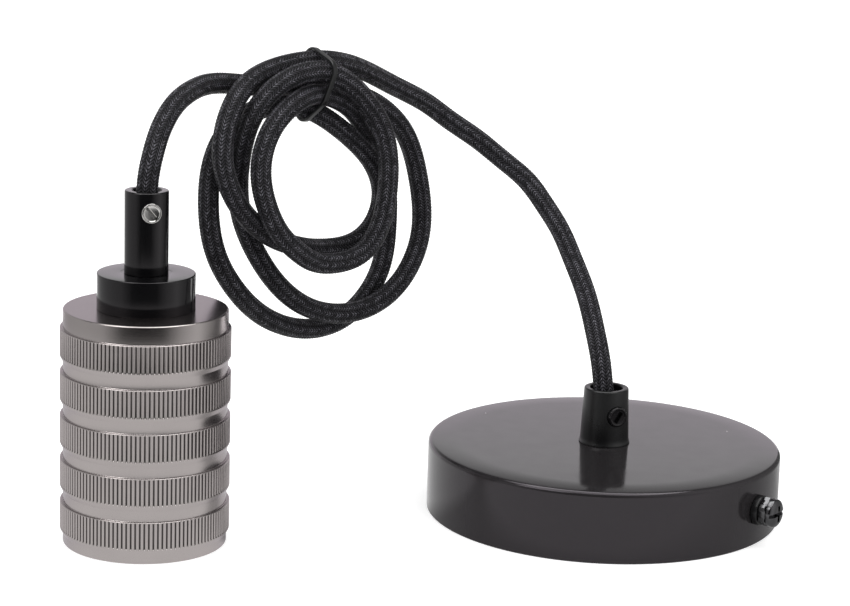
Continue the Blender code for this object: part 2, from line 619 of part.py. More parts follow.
def make_terminals(axis, finishes):
    """Two brass terminals on the socket body, each with a wire hole and a clamping screw."""
    foot = SOCKET_TOP + SEAT_GAP
    middle = TERMINAL_FROM_AXIS + TERMINAL_SIZE / 2
    for name, side in (("live", 1), ("neutral", -1)):
        place = (0.0, side * middle, foot)
        block = add(name + "_terminal", prism_body(rectangle(TERMINAL_SIZE, TERMINAL_SIZE), 0.0,
                                                   TERMINAL_HEIGHT), finishes["brass"], axis, place)
        wire = prism_body(circle(TERMINAL_HOLE, 16), -TERMINAL_SIZE, TERMINAL_SIZE)
        cut(block, name + "_wire_hole", wire, (0.0, side * middle, foot + TERMINAL_HOLE_UP),
            (math.pi / 2, 0.0, 0.0))
        top = foot + TERMINAL_HEIGHT
        depth = TERMINAL_HEIGHT - TERMINAL_HOLE_UP
        well = prism_body(circle(TERMINAL_SCREW_RADIUS + THREAD_GAP, 16), -depth, depth)
        cut(block, name + "_screw_well", well, (0.0, side * middle, top))
        length = depth - CORE_RADIUS - SEAT_GAP
        slotted_screw(name + "_terminal_screw", TERMINAL_SCREW_RADIUS, length, SMALL_HEAD_RADIUS,
                      SMALL_HEAD_HEIGHT, SMALL_HEAD_EDGE, finishes["zinc"], axis,
                      (0.0, side * middle, top + SEAT_GAP))


def make_holder_cores(axis, finishes):
    """Cores from the cord's end in the grip, through the nipple, to the terminals and strap."""
    level = holder_levels()
    start = level["mouth"] - CORD_IN_HOLDER - SEAT_GAP
    exit_height = level["nipple_end"]
    wire_height = SOCKET_TOP + SEAT_GAP + TERMINAL_HOLE_UP
    wire_end = TERMINAL_FROM_AXIS + 0.4 * TERMINAL_SIZE
    tag_x = STRAP_HALF_LENGTH - STRAP_THICKNESS - SEAT_GAP
    drop = exit_height - wire_height
    aside = EARTH_CORE_ASIDE
    near = 0.8 * TERMINAL_FROM_AXIS
    bend = exit_height - 0.75 * drop
    tails = {
        "live": [(0.0, CORE_SPREAD, bend), (0.0, near, wire_height), (0.0, wire_end, wire_height)],
        "neutral": [(-0.2 * CORE_SPREAD, -CORE_SPREAD, bend), (0.0, -near, wire_height),
                    (0.0, -wire_end, wire_height)],
        "earth": [(CORE_SPREAD, -aside, exit_height - 0.6 * drop),
                  (0.75 * tag_x, -aside, wire_height), (tag_x, -aside, wire_height)],
    }
    for number, (name, tail) in enumerate(tails.items()):
        clock = math.pi / 2 + number * math.tau / 3
        x = CORE_FROM_AXIS * math.cos(clock)
        y = CORE_FROM_AXIS * math.sin(clock)
        route = [(x, y, height) for height in np.linspace(start, exit_height, 6)] + tail
        tube(f"holder_{name}_core", smooth_route(route, CORE_POINT_COUNT), CORE_RADIUS,
             finishes[name], axis, 1)


def canopy_outline():
    """Outline of the canopy: a cup with a rounded top edge and one thickness all over."""
    wall = CANOPY_WALL
    corner = CANOPY_RADIUS - CANOPY_EDGE
    shoulder = CANOPY_HEIGHT - CANOPY_EDGE
    eye = THREAD_RADIUS + THREAD_GAP
    angles = [math.radians(angle) for angle in (0.0, 22.5, 45.0, 67.5, 90.0)]
    outer = [(corner + CANOPY_EDGE * math.cos(a), shoulder + CANOPY_EDGE * math.sin(a)) for a in angles]
    bend = CANOPY_EDGE - wall
    inner = [(corner + bend * math.cos(a), shoulder + bend * math.sin(a)) for a in reversed(angles)]
    return ([(CANOPY_RADIUS - wall, 0.0), (CANOPY_RADIUS, 0.0)] + outer
            + [(eye, CANOPY_HEIGHT), (eye, CANOPY_HEIGHT - wall)] + inner)


def canopy_mouth():
    """Height of the top of the canopy's cord grip."""
    return CANOPY_HEIGHT + SEAT_GAP + CANOPY_GRIP_HEIGHT


def make_canopy(axis, side_axis, finishes):
    """Canopy cup, its cord grip with washer and nut, and the side screws with their holes."""
    cup = add("canopy_cup", turned_body(canopy_outline(), 84), finishes["satin_black"], axis)
    eye = THREAD_RADIUS + THREAD_GAP
    ceiling = CANOPY_HEIGHT - CANOPY_WALL
    washer_top = ceiling - SEAT_GAP
    nut_top = washer_top - WASHER_THICKNESS - SEAT_GAP
    stub_end = nut_top - NUT_THICKNESS - CANOPY_GRIP_TAIL
    foot = CANOPY_HEIGHT + SEAT_GAP
    mouth = canopy_mouth()
    throat = mouth - CANOPY_GRIP_MOUTH_DEPTH
    grip = add("canopy_cord_grip", turned_body([
        (GRIP_BORE, stub_end), (THREAD_RADIUS, stub_end), (THREAD_RADIUS, foot),
        (CANOPY_GRIP_FOOT_RADIUS, foot), (CANOPY_GRIP_FOOT_RADIUS, foot + CANOPY_GRIP_SKIRT),
        (CANOPY_GRIP_TOP_RADIUS, mouth - GRIP_EDGE), (CANOPY_GRIP_TOP_RADIUS - GRIP_EDGE, mouth),
        (CANOPY_GRIP_MOUTH, mouth), (CANOPY_GRIP_MOUTH, throat),
        (GRIP_BORE, throat - (CANOPY_GRIP_MOUTH - GRIP_BORE))], 36), finishes["black_plastic"], axis)
    height = mouth - CANOPY_SCREW_BELOW_TOP
    hole = prism_body(circle(CANOPY_SCREW_RADIUS + THREAD_GAP, 24), GRIP_BORE / 2,
                      2 * CANOPY_GRIP_FOOT_RADIUS)
    cut(grip, "canopy_grip_screw_hole", hole, (0, 0, height), radial_turn(CANOPY_SCREW_DIRECTION))
    grub_screw("canopy_grip_screw", CANOPY_SCREW_RADIUS, CORD_DIAMETER / 2 + 2 * SEAT_GAP,
               CANOPY_GRIP_TOP_RADIUS + 2 * SCREW_PROUD, CANOPY_SCREW_DIRECTION, height,
               CANOPY_SCREW_SLOT_TURN, finishes["black_plastic"], axis)
    ring("canopy_grip_washer", WASHER_RADIUS, eye, washer_top - WASHER_THICKNESS, washer_top,
         finishes["zinc"], axis)
    hex_nut("canopy_grip_nut", NUT_ACROSS_FLATS, eye, nut_top - NUT_THICKNESS, nut_top,
            finishes["zinc"], axis)
    for name, turn in (("right", 0.0), ("left", math.pi)):
        make_side_screw(name, turn, cup, side_axis, finishes)


def make_side_screw(name, turn, cup, side_axis, finishes):
    """One side screw with its washer and nut outside the wall, and its hole in the wall."""
    height = CANOPY_HEIGHT / 2
    place = (0.0, 0.0, height)
    turned = radial_turn(turn)
    bore = SIDE_SCREW_RADIUS + THREAD_GAP
    washer = CANOPY_RADIUS + SEAT_GAP
    nut = washer + SIDE_WASHER_THICKNESS + SEAT_GAP
    head = nut + SIDE_NUT_THICKNESS + SIDE_HEAD_GAP
    ear = CANOPY_RADIUS - CANOPY_WALL - BRACKET_EAR_TO_WALL - BRACKET_THICKNESS
    ring("side_washer_" + name, SIDE_WASHER_RADIUS, bore, washer, washer + SIDE_WASHER_THICKNESS,
         finishes["black_plastic"], side_axis, 24, place, turned)
    hex_nut("side_nut_" + name, SIDE_NUT_ACROSS_FLATS, bore, nut, nut + SIDE_NUT_THICKNESS,
            finishes["black_metal"], side_axis, place, turned)
    slotted_screw("side_screw_" + name, SIDE_SCREW_RADIUS, head - ear + SIDE_SCREW_PAST_EAR,
                  SIDE_HEAD_RADIUS, SIDE_HEAD_HEIGHT, SIDE_HEAD_EDGE, finishes["black_metal"],
                  side_axis, radial_place(head, turn, height), turned)
    hole = prism_body(circle(bore, 16), CANOPY_RADIUS - 3 * CANOPY_WALL, CANOPY_RADIUS + CANOPY_WALL)
    cut(cup, "side_hole_" + name, hole, place, turned, side_axis)


def bracket_outline():
    """Side outline of the ceiling bracket: a flat strip with both ends folded up into ears."""
    low = BRACKET_UP
    thick = BRACKET_THICKNESS
    end = CANOPY_RADIUS - CANOPY_WALL - BRACKET_EAR_TO_WALL
    top = CANOPY_HEIGHT / 2 + BRACKET_EAR_ABOVE_SCREW
    angles = [math.radians(angle) for angle in (-90.0, -60.0, -30.0, 0.0)]
    middle = (end - BRACKET_FOLD, low + BRACKET_FOLD)
    outer = [(middle[0] + BRACKET_FOLD * math.cos(a), middle[1] + BRACKET_FOLD * math.sin(a))
             for a in angles]
    bend = BRACKET_FOLD - thick
    inner = [(middle[0] + bend * math.cos(a), middle[1] + bend * math.sin(a))
             for a in reversed(angles)]
    right = outer + [(end, top), (end - thick, top)] + inner
    left = [(-x, z) for x, z in reversed(right)]
    return right + left


def make_bracket(side_axis, finishes):
    """Ceiling bracket with threaded ears, two fixing slots and an eye, and its earth screw."""
    bracket = add("ceiling_bracket", prism_body(bracket_outline(), -BRACKET_WIDTH / 2,
                                                BRACKET_WIDTH / 2), finishes["zinc"], side_axis,
                  turn=(math.pi / 2, 0.0, 0.0))
    far = CANOPY_RADIUS
    hole = prism_body(circle(SIDE_SCREW_RADIUS + THREAD_GAP, 16), -far, far)
    cut(bracket, "ear_holes", hole, (0.0, 0.0, CANOPY_HEIGHT / 2), radial_turn(0.0))
    low = BRACKET_UP - BRACKET_THICKNESS
    high = BRACKET_UP + 2 * BRACKET_THICKNESS
    cut(bracket, "bracket_eye", prism_body(circle(BRACKET_EYE, 24), low, high))
    for name, side in (("right", 1), ("left", -1)):
        half = FIXING_SLOT_LENGTH / 2 - FIXING_SLOT_RADIUS
        arc = [math.radians(angle) for angle in range(-90, 91, 30)]
        slot = [(half + FIXING_SLOT_RADIUS * math.cos(a), FIXING_SLOT_RADIUS * math.sin(a))
                for a in arc]
        slot += [(-x, -y) for x, y in slot]
        cut(bracket, "fixing_slot_" + name, prism_body(slot, low, high),
            (side * FIXING_SLOT_AT, 0.0, 0.0))
    place = (EARTH_SCREW_AT, 0.0, BRACKET_UP + BRACKET_THICKNESS + SEAT_GAP)
    reach = BRACKET_THICKNESS
    cut(bracket, "earth_screw_hole", prism_body(circle(EARTH_SCREW_RADIUS + THREAD_GAP, 16),
                                                low, high), (EARTH_SCREW_AT, 0.0, 0.0))
    slotted_screw("earth_screw", EARTH_SCREW_RADIUS, reach, SMALL_HEAD_RADIUS, SMALL_HEAD_HEIGHT,
                  SMALL_HEAD_EDGE, finishes["brass"], side_axis, place)


def make_terminal_block(side_axis, finishes):
    """Three-pole terminal block on the bracket, with a screw for each pole."""
    foot = BRACKET_UP + BRACKET_THICKNESS + SEAT_GAP
    block = add("terminal_block", prism_body(rectangle(BLOCK_LENGTH, BLOCK_WIDTH), 0.0,
                                             BLOCK_HEIGHT), finishes["nylon"], side_axis,
                (BLOCK_AT, 0.0, foot))
    depth = BLOCK_SCREW_DEPTH + SEAT_GAP
    for pole in range(BLOCK_POLES):
        y = (pole - (BLOCK_POLES - 1) / 2) * BLOCK_POLE_PITCH
        wire = prism_body(circle(BLOCK_HOLE, 12), -BLOCK_LENGTH, BLOCK_LENGTH)
        cut(block, f"block_wire_hole_{pole + 1}", wire, (BLOCK_AT, y, foot + BLOCK_HOLE_UP),
            radial_turn(0.0))
        top = foot + BLOCK_HEIGHT
        well = prism_body(circle(BLOCK_SCREW_RADIUS + THREAD_GAP, 12), -depth, depth)
        cut(block, f"block_screw_well_{pole + 1}", well, (BLOCK_AT, y, top))
        slotted_screw(f"block_screw_{pole + 1}", BLOCK_SCREW_RADIUS, BLOCK_SCREW_DEPTH,
                      BLOCK_SCREW_HEAD, BLOCK_SCREW_HEIGHT, 0.3 * MM, finishes["zinc"], side_axis,
                      (BLOCK_AT, y, top + SEAT_GAP))


def make_canopy_cores(side_axis, finishes):
    """Cores from the cord's end in the grip, down the stub, to the block and the earth screw."""
    start = canopy_mouth() - CORD_IN_CANOPY - SEAT_GAP
    stub_end = (CANOPY_HEIGHT - CANOPY_WALL - 2 * SEAT_GAP - WASHER_THICKNESS - NUT_THICKNESS
                - CANOPY_GRIP_TAIL)
    wire = BRACKET_UP + BRACKET_THICKNESS + SEAT_GAP + BLOCK_HOLE_UP
    face = BLOCK_AT - BLOCK_LENGTH / 2
    end = face + 0.25 * BLOCK_LENGTH
    screw = EARTH_SCREW_AT + SMALL_HEAD_RADIUS + SEAT_GAP
    earth_height = BRACKET_UP + BRACKET_THICKNESS + 2 * SEAT_GAP + CORE_RADIUS
    spread = CORE_SPREAD + CORE_RADIUS
    above = wire + CORE_ABOVE_BEND
    near = face - CORE_BEFORE_BLOCK
    pole = BLOCK_POLE_PITCH
    tails = {
        "live": [(spread, 0.5 * pole, above), (near, pole, wire), (end, pole, wire)],
        "earth": [(-EARTH_CORE_FIRST_BEND, 0.0, above + CORE_ABOVE_BEND),
                  (-EARTH_CORE_SECOND_BEND, 0.0, earth_height + CORE_RADIUS),
                  (screw, 0.0, earth_height)],
        "neutral": [(spread, -0.5 * pole, above), (near, -pole, wire), (end, -pole, wire)],
    }
    for number, (name, tail) in enumerate(tails.items()):
        clock = math.pi / 3 + number * math.tau / 3
        x = CORE_FROM_AXIS * math.cos(clock)
        y = CORE_FROM_AXIS * math.sin(clock)
        route = [(x, y, height) for height in np.linspace(start, stub_end, 4)] + tail
        tube(f"canopy_{name}_core", smooth_route(route, CORE_POINT_COUNT - 4), CORE_RADIUS,
             finishes[name], side_axis, 1)


def coil_frame():
    """Middle of the coil from the holder's mouth, and its level, upright and forward directions."""
    across = np.array((math.cos(COIL_DIRECTION), math.sin(COIL_DIRECTION), 0.0))
    upright = np.array((0.0, 0.0, 1.0))
    forward = np.array((math.sin(COIL_DIRECTION), -math.cos(COIL_DIRECTION), 0.0))
    return np.array(COIL_MIDDLE) * MM, across, upright, forward


def cord_route():
    """Route points of the whole cord: lead from the holder, turns of the coil, lead to the canopy."""
    mouth = np.array((0.0, 0.0, holder_levels()["mouth"]))
    middle, across, upright, forward = coil_frame()
    points = [mouth + np.array(point) * MM for point in HOLDER_LEAD]
    for index, (distance, layer) in enumerate(COIL_STRANDS):
        angle = (COIL_FIRST_POSITION - index) * math.tau / COIL_POSITIONS
        spoke = across * math.cos(angle) + upright * math.sin(angle)
        points.append(mouth + middle + spoke * distance * MM + forward * layer * MM)
    canopy = np.array(CANOPY_FROM_HOLDER) + np.array((0.0, 0.0, canopy_mouth()))
    points += [canopy + np.array(point) * MM for point in CANOPY_LEAD]
    return points


def make_cord(axis, finishes):
    """Cord in one piece from grip to grip."""
    tube("cord", smooth_route(cord_route(), CORD_POINT_COUNT), CORD_DIAMETER / 2,
         finishes["braid"], axis, 2)


def make_tie(axis, finishes):
    """Thin flat tie drawn round all strands that cross its plane at the top of the coil.

    Round each strand stands a circle a little wider than the cord. The tie's inner face follows
    the outline that encloses the circles: in each direction, the point that lies furthest out.
    """
    middle, across, upright, forward = coil_frame()
    level, height = np.array(TIE_POINT) * MM
    centre = np.array((0.0, 0.0, holder_levels()["mouth"])) + middle
    centre = centre + across * level + upright * height
    spoke = across * math.cos(TIE_LEAN) + upright * math.sin(TIE_LEAN)
    along = np.cross(forward, spoke)
    route = smooth_route(cord_route(), CORD_POINT_COUNT) - centre
    ahead = route @ along
    before = np.nonzero(
        (ahead[:-1] * ahead[1:] <= 0.0) & (np.abs(route[:-1] @ spoke) < TIE_REACH))[0]
    share = ahead[before] / (ahead[before] - ahead[before + 1])
    crossing = route[before] + share[:, None] * (route[before + 1] - route[before])
    strands = np.column_stack((crossing @ spoke, crossing @ forward))
    angles = np.arange(TIE_POINT_COUNT) * math.tau / TIE_POINT_COUNT
    outward = np.column_stack((np.cos(angles), np.sin(angles)))
    furthest = strands[np.argmax(strands @ outward.T, axis=0)]
    inner = furthest + outward * (CORD_DIAMETER / 2 + TIE_GAP)
    outer = inner + outward * TIE_THICKNESS
    bm = bmesh.new()
    rings = []
    for loop, side in ((inner, -0.5), (outer, -0.5), (outer, 0.5), (inner, 0.5)):
        places = centre + loop[:, :1] * spoke + loop[:, 1:] * forward + side * TIE_WIDTH * along
        rings.append([bm.verts.new(place) for place in places])
    for first, second in zip(rings, rings[1:] + rings[:1]):
        for index in range(TIE_POINT_COUNT):
            after = (index + 1) % TIE_POINT_COUNT
            bm.faces.new((first[index], first[after], second[after], second[index]))
    add("coil_tie", bm, finishes["tie"], axis)


def stand_on_origin(root, soft):
    """Move the set so that the middle of its rigid pieces is over the origin."""
    bpy.context.view_layer.update()
    graph = bpy.context.evaluated_depsgraph_get()
    corners = []
    for item in bpy.data.objects:
        if item.type != "MESH" or item.hide_render or item.name in soft:
            continue
        mesh = item.evaluated_get(graph).to_mesh()
        places = np.empty(len(mesh.vertices) * 3)
        mesh.vertices.foreach_get("co", places)
        turn = np.array(item.matrix_world.to_3x3())
        corners.append(places.reshape(-1, 3) @ turn.T + np.array(item.matrix_world.translation))
    corners = np.vstack(corners)
    middle = (corners.min(axis=0) + corners.max(axis=0)) / 2
    root.location = (-middle[0], -middle[1], -corners[:, 2].min())


def main():
    """Build the whole set."""
    clear_scene()
    finishes = {
        "gunmetal": finish("gunmetal", (0.36, 0.33, 0.32), 0.35, 1.0),
        "black_polish": finish("black_polish", (0.012, 0.012, 0.013), 0.12, 0.4),
        "nickel": finish("nickel", (0.75, 0.74, 0.72), 0.2, 1.0),
        "zinc": finish("zinc", (0.6, 0.6, 0.62), 0.4, 1.0),
        "brass": finish("brass", (0.75, 0.55, 0.25), 0.3, 1.0),
        "porcelain": finish("porcelain", (0.85, 0.84, 0.8), 0.2, 0.0),
        "satin_black": finish("satin_black", (0.03, 0.03, 0.031), 0.35, 0.0),
        "black_plastic": finish("black_plastic", (0.01, 0.01, 0.011), 0.3, 0.0),
        "black_metal": finish("black_metal", (0.02, 0.02, 0.02), 0.3, 0.8),
        "nylon": finish("nylon", (0.8, 0.8, 0.78), 0.5, 0.0),
        "braid": finish("braid", (0.02, 0.02, 0.022), 0.8, 0.0),
        "tie": finish("tie", (0.02, 0.02, 0.02), 0.35, 0.0),
        "live": finish("live", (0.2, 0.07, 0.03), 0.5, 0.0),
        "neutral": finish("neutral", (0.02, 0.1, 0.45), 0.5, 0.0),
        "earth": finish("earth", (0.25, 0.5, 0.05), 0.5, 0.0),
    }
    root = empty("cord_set", (0.0, 0.0, 0.0))
    holder = empty("holder_axis", (0.0, 0.0, 0.0), parent=root)
    canopy = empty("canopy_axis", CANOPY_FROM_HOLDER, parent=root)
    sides = empty("side_screw_axis", CANOPY_FROM_HOLDER, SIDE_DIRECTION, root)
    make_holder_outside(holder, finishes)
    make_nipple_stack(holder, finishes)
    make_socket(holder, finishes)
    make_holder_cores(holder, finishes)
    make_canopy(canopy, sides, finishes)
    make_bracket(sides, finishes)
    make_terminal_block(sides, finishes)
    make_canopy_cores(sides, finishes)
    make_cord(holder, finishes)
    make_tie(holder, finishes)
    stand_on_origin(root, {"cord", "coil_tie"})


if __name__ == "__main__":
    main()
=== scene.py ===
"""Looks of the pendant cord set: ribbed metal lamp holder, braided cord in a tied coil, canopy.

Each sub-assembly is a class with its sizes and the methods that build and dress its pieces. Sizes
are in metres. The holder and the canopy stand where the frame's nodes stand.
"""

import logging
import math
from dataclasses import dataclass, field
from enum import Enum
from functools import cache
from typing import Callable, Optional, Sequence, Union

import bmesh
import bpy
import numpy as np
from mathutils import Matrix, Vector


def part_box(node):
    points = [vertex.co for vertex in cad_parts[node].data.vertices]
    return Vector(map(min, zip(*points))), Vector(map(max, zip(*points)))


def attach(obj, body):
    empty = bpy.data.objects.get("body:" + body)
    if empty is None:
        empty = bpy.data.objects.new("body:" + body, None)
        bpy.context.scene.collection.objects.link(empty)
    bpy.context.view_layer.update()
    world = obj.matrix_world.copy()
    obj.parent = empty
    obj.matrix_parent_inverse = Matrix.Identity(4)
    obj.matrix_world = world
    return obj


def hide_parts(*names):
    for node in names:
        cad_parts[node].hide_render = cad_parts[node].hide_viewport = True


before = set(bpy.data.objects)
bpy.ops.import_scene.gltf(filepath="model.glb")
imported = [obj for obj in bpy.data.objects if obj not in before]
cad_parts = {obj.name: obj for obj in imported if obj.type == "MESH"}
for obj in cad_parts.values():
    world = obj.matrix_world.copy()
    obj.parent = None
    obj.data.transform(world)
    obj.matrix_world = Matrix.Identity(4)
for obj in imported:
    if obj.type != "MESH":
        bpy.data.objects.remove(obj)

LOG = logging.getLogger("pendant_cord_set")
MM = 0.001
BODY = "root"
BRAID_MAP = "braid"

# Edges that bend by more than this many degrees stay sharp.
SHARP = 32.0
# A nut's flat ring as a share of its half width, its chamfer's drop for each step out, and the
# degrees past which its edges stay sharp.
NUT_FACE = 0.985
NUT_CHAMFER = 0.52
NUT_SHARP = 25.0

Array = np.ndarray
Colour = tuple[float, float, float]
Value = Union[float, bpy.types.NodeSocket]
RadiusRule = Callable[[Array, Array], Array]
Table = tuple[tuple[float, ...], ...]

WHITE: Colour = (1.0, 1.0, 1.0)


# Surfaces


def eased(corners: Sequence[Sequence[float]], steps: int = 4) -> Array:
    """Round the corners of a closed outline.

    Each corner becomes a quadratic curve. It starts as far before the corner as the corner's
    third number says, is pulled towards the corner, and ends as far after it.

    Args:
        corners: Corners in order, each as first coordinate, second coordinate and ease.
        steps: Pieces that each rounded corner is drawn with.

    Returns:
        Points of the outline, one row each.
    """
    table = np.asarray(corners, float)
    corner, ease = table[:, :2], table[:, 2:3]

    def towards(other: Array) -> Array:
        """Points at the ease's distance from each corner towards its neighbour."""
        reach = other - corner
        return corner + reach * np.minimum(ease / np.linalg.norm(reach, axis=1, keepdims=True), 0.5)

    start = towards(np.roll(corner, 1, axis=0))[:, None]
    end = towards(np.roll(corner, -1, axis=0))[:, None]
    part = np.linspace(0.0, 1.0, steps + 1)[None, :, None]
    curve = (1 - part) ** 2 * start + 2 * part * (1 - part) * corner[:, None] + part ** 2 * end
    points = curve.reshape(-1, 2)
    moved = np.linalg.norm(points - np.roll(points, 1, axis=0), axis=1) > 1e-8
    return points[moved]


def turned(outline: Array, angles: Array, rule: Optional[RadiusRule] = None) -> Array:
    """Turn a closed outline of radius and height round the Z axis.

    The point in column angle a and of outline radius r and height z is (R cos a, R sin a, z), with
    R = r, or what the rule gives for a and r.

    Args:
        outline: Rows of radius and height.
        angles: Angles of the columns round the axis.
        rule: Radius as a function of the angles and of the outline's radii.

    Returns:
        Grid of points, columns by outline points by three.
    """
    angle = angles[:, None]
    radius = np.broadcast_to(outline[None, :, 0], (len(angles), len(outline)))
    if rule is not None:
        radius = rule(angle, radius)
    height = np.broadcast_to(outline[None, :, 1], radius.shape)
    return np.stack((radius * np.cos(angle), radius * np.sin(angle), height), axis=-1)


def hexagon(across_flats: float) -> RadiusRule:
    """Radius rule of a nut: the hexagon's radius where the outline reaches out to it.

    The hexagon's radius at angle a is half its width over the cosine of the angle from the
    nearest flat's middle. The smaller of that and the outline's radius is used, so a rounded
    outline trims the corners as a nut's chamfer does.

    Args:
        across_flats: The nut's width between two flats.

    Returns:
        The rule.
    """
    def rule(angle: Array, radius: Array) -> Array:
        """Smaller of the outline's and the hexagon's radius."""
        from_flat = np.mod(angle, math.pi / 3) - math.pi / 6
        return np.minimum(radius, across_flats / 2 / np.cos(from_flat))
    return rule


def quads(rows: int, columns: int, wrap_rows: bool, wrap_columns: bool) -> tuple[Array, Array]:
    """Faces of a grid of points.

    Args:
        rows: Grid rows.
        columns: Grid columns.
        wrap_rows: Whether the last row joins the first.
        wrap_columns: Whether the last column joins the first.

    Returns:
        Point numbers of each face, and for each face corner its row and column before wrapping.
    """
    row, column = np.meshgrid(np.arange(rows - (not wrap_rows)),
                              np.arange(columns - (not wrap_columns)), indexing="ij")
    corner_rows = np.stack((row, row + 1, row + 1, row), axis=-1).reshape(-1, 4)
    corner_columns = np.stack((column, column, column + 1, column + 1), axis=-1).reshape(-1, 4)
    faces = (corner_rows % rows) * columns + corner_columns % columns
    return faces, np.stack((corner_rows, corner_columns), axis=-1)


def outward(direction: float) -> Array:
    """Rotation that lays the local Z axis outwards along a level direction."""
    cos, sin = math.cos(direction), math.sin(direction)
    return np.array(((0.0, -sin, cos), (0.0, cos, sin), (-1.0, 0.0, 0.0)))


def run_along(points: Array) -> Array:
    """Length along a path from its start to each of its points."""
    return np.concatenate(([0.0], np.cumsum(np.linalg.norm(np.diff(points, axis=0), axis=1))))


def even_points(points: Array, count: int, endpoint: bool = True) -> Array:
    """Points at even distances along a path.

    Args:
        points: Points of the path.
        count: Points to return.
        endpoint: Whether the path's last point is returned.

    Returns:
        Points, one row each.
    """
    run = run_along(points)
    even = np.linspace(0.0, run[-1], count, endpoint=endpoint)
    return np.stack([np.interp(even, run, column) for column in points.T], axis=1)


def smooth_route(points: Sequence[Sequence[float]], count: int) -> Array:
    """Points along the natural cubic spline through route points, at even distances.

    The spline's parameter is the length along the chords, and its second derivatives solve the
    usual three-term equations with zero at both ends. It is read finely, and the reading is then
    spaced evenly by its own length.

    Args:
        points: Route points.
        count: Points to return.

    Returns:
        Rows of X, Y and Z.
    """
    route = np.asarray(points, float)
    along = run_along(route)
    spans = np.diff(along)
    slopes = np.diff(route, axis=0) / spans[:, None]
    inner = len(route) - 2
    matrix = np.eye(len(route))
    rows = np.arange(1, inner + 1)
    matrix[rows, rows - 1] = spans[:-1]
    matrix[rows, rows] = 2 * (spans[:-1] + spans[1:])
    matrix[rows, rows + 1] = spans[1:]
    right = np.zeros_like(route)
    right[1:-1] = 6 * np.diff(slopes, axis=0)
    bends = np.linalg.solve(matrix, right)
    read = np.linspace(0.0, along[-1], 6 * count)
    span = np.clip(np.searchsorted(along, read, side="right") - 1, 0, inner)
    after = (along[span + 1] - read)[:, None]
    before = (read - along[span])[:, None]
    width = spans[span][:, None]
    fine = (bends[span] * after ** 3 / (6 * width) + bends[span + 1] * before ** 3 / (6 * width)
            + (route[span] / width - bends[span] * width / 6) * after
            + (route[span + 1] / width - bends[span + 1] * width / 6) * before)
    return even_points(fine, count)


def tube_grid(path: Array, reference: Array, radius: Array, closed: bool = False) -> Array:
    """Carry rings along a path.

    The ring at a path point lies across the path's direction there. Its first axis is the
    reference direction with what lies along the path taken off, and its second is square to both.
    The point at ring angle a stands at path point + radius (cos a first axis + sin a second axis).

    Args:
        path: Path points, one row each.
        reference: A direction that the path never runs along.
        radius: Radii, one row for each path point and one column for each ring angle.
        closed: Whether the path's end joins its start.

    Returns:
        Grid of points, path points by ring angles by three.
    """
    if closed:
        ahead = np.roll(path, -1, axis=0) - np.roll(path, 1, axis=0)
    else:
        ahead = np.gradient(path, axis=0)
    ahead /= np.linalg.norm(ahead, axis=1, keepdims=True)
    first = reference - (ahead @ reference)[:, None] * ahead
    first /= np.linalg.norm(first, axis=1, keepdims=True)
    second = np.cross(ahead, first)
    angle = np.arange(radius.shape[1]) * math.tau / radius.shape[1]
    ring = (np.cos(angle)[None, :, None] * first[:, None]
            + np.sin(angle)[None, :, None] * second[:, None])
    return path[:, None] + radius[..., None] * ring


# Finishes


class Graph:
    """A node tree, with short calls for its nodes."""

    def __init__(self, tree: bpy.types.NodeTree) -> None:
        """Work on a tree."""
        self.tree = tree

    def feed(self, socket: bpy.types.NodeSocket, value: Union[Value, Colour]) -> None:
        """Give a socket a value or a link.

        Args:
            socket: Input of a node.
            value: Number, vector or colour, or the output to link.
        """
        if isinstance(value, bpy.types.NodeSocket):
            self.tree.links.new(value, socket)
        elif isinstance(value, (tuple, list)) and socket.type == "RGBA":
            socket.default_value = (*value[:3], 1.0)
        else:
            socket.default_value = value

    def node(self, kind: str, inputs: dict, **settings: object) -> bpy.types.Node:
        """Add a node with its settings and inputs.

        Args:
            kind: Type of the node.
            inputs: Values or links by the input's name or number.
            settings: The node's own settings.

        Returns:
            The node.
        """
        made = self.tree.nodes.new(kind)
        for key, value in settings.items():
            setattr(made, key, value)
        for key, value in inputs.items():
            self.feed(made.inputs[key], value)
        return made

    def math(self, operation: str, *values: Value) -> bpy.types.NodeSocket:
        """Result of one Math node."""
        return self.node("ShaderNodeMath", dict(enumerate(values)), operation=operation).outputs[0]

    def mix(self, part: Value, low: Union[Value, Colour],
            high: Union[Value, Colour]) -> bpy.types.NodeSocket:
        """Colour between two colours."""
        return self.node("ShaderNodeMix", {0: part, 6: low, 7: high}, data_type="RGBA").outputs[2]

    def spread(self, value: Value, low: Value, high: Value, to_low: float = 0.0,
               to_high: float = 1.0) -> bpy.types.NodeSocket:
        """Value carried smoothly from one range to another, and held at its ends."""
        return self.node("ShaderNodeMapRange", {0: value, 1: low, 2: high, 3: to_low, 4: to_high},
                         interpolation_type="SMOOTHSTEP").outputs[0]

    def place(self, middle: Sequence[float] = (0.0, 0.0, 0.0)) -> bpy.types.NodeSocket:
        """Object coordinates measured from a point.

        Args:
            middle: The point.

        Returns:
            The coordinates.
        """
        source = self.node("ShaderNodeTexCoord", {}).outputs["Object"]
        shift = tuple(-value for value in middle)
        return self.node("ShaderNodeMapping", {"Vector": source, "Location": shift}).outputs[0]

    def noise(self, vector: Value, scale: float, detail: float = 3.0) -> bpy.types.NodeSocket:
        """Noise value at a position."""
        made = self.node("ShaderNodeTexNoise", {"Vector": vector, "Scale": scale, "Detail": detail})
        return made.outputs["Fac"]

    def attribute(self, name: str) -> bpy.types.NodeSocket:
        """Value that the mesh carries under a name."""
        return self.node("ShaderNodeAttribute", {}, attribute_name=name).outputs["Fac"]


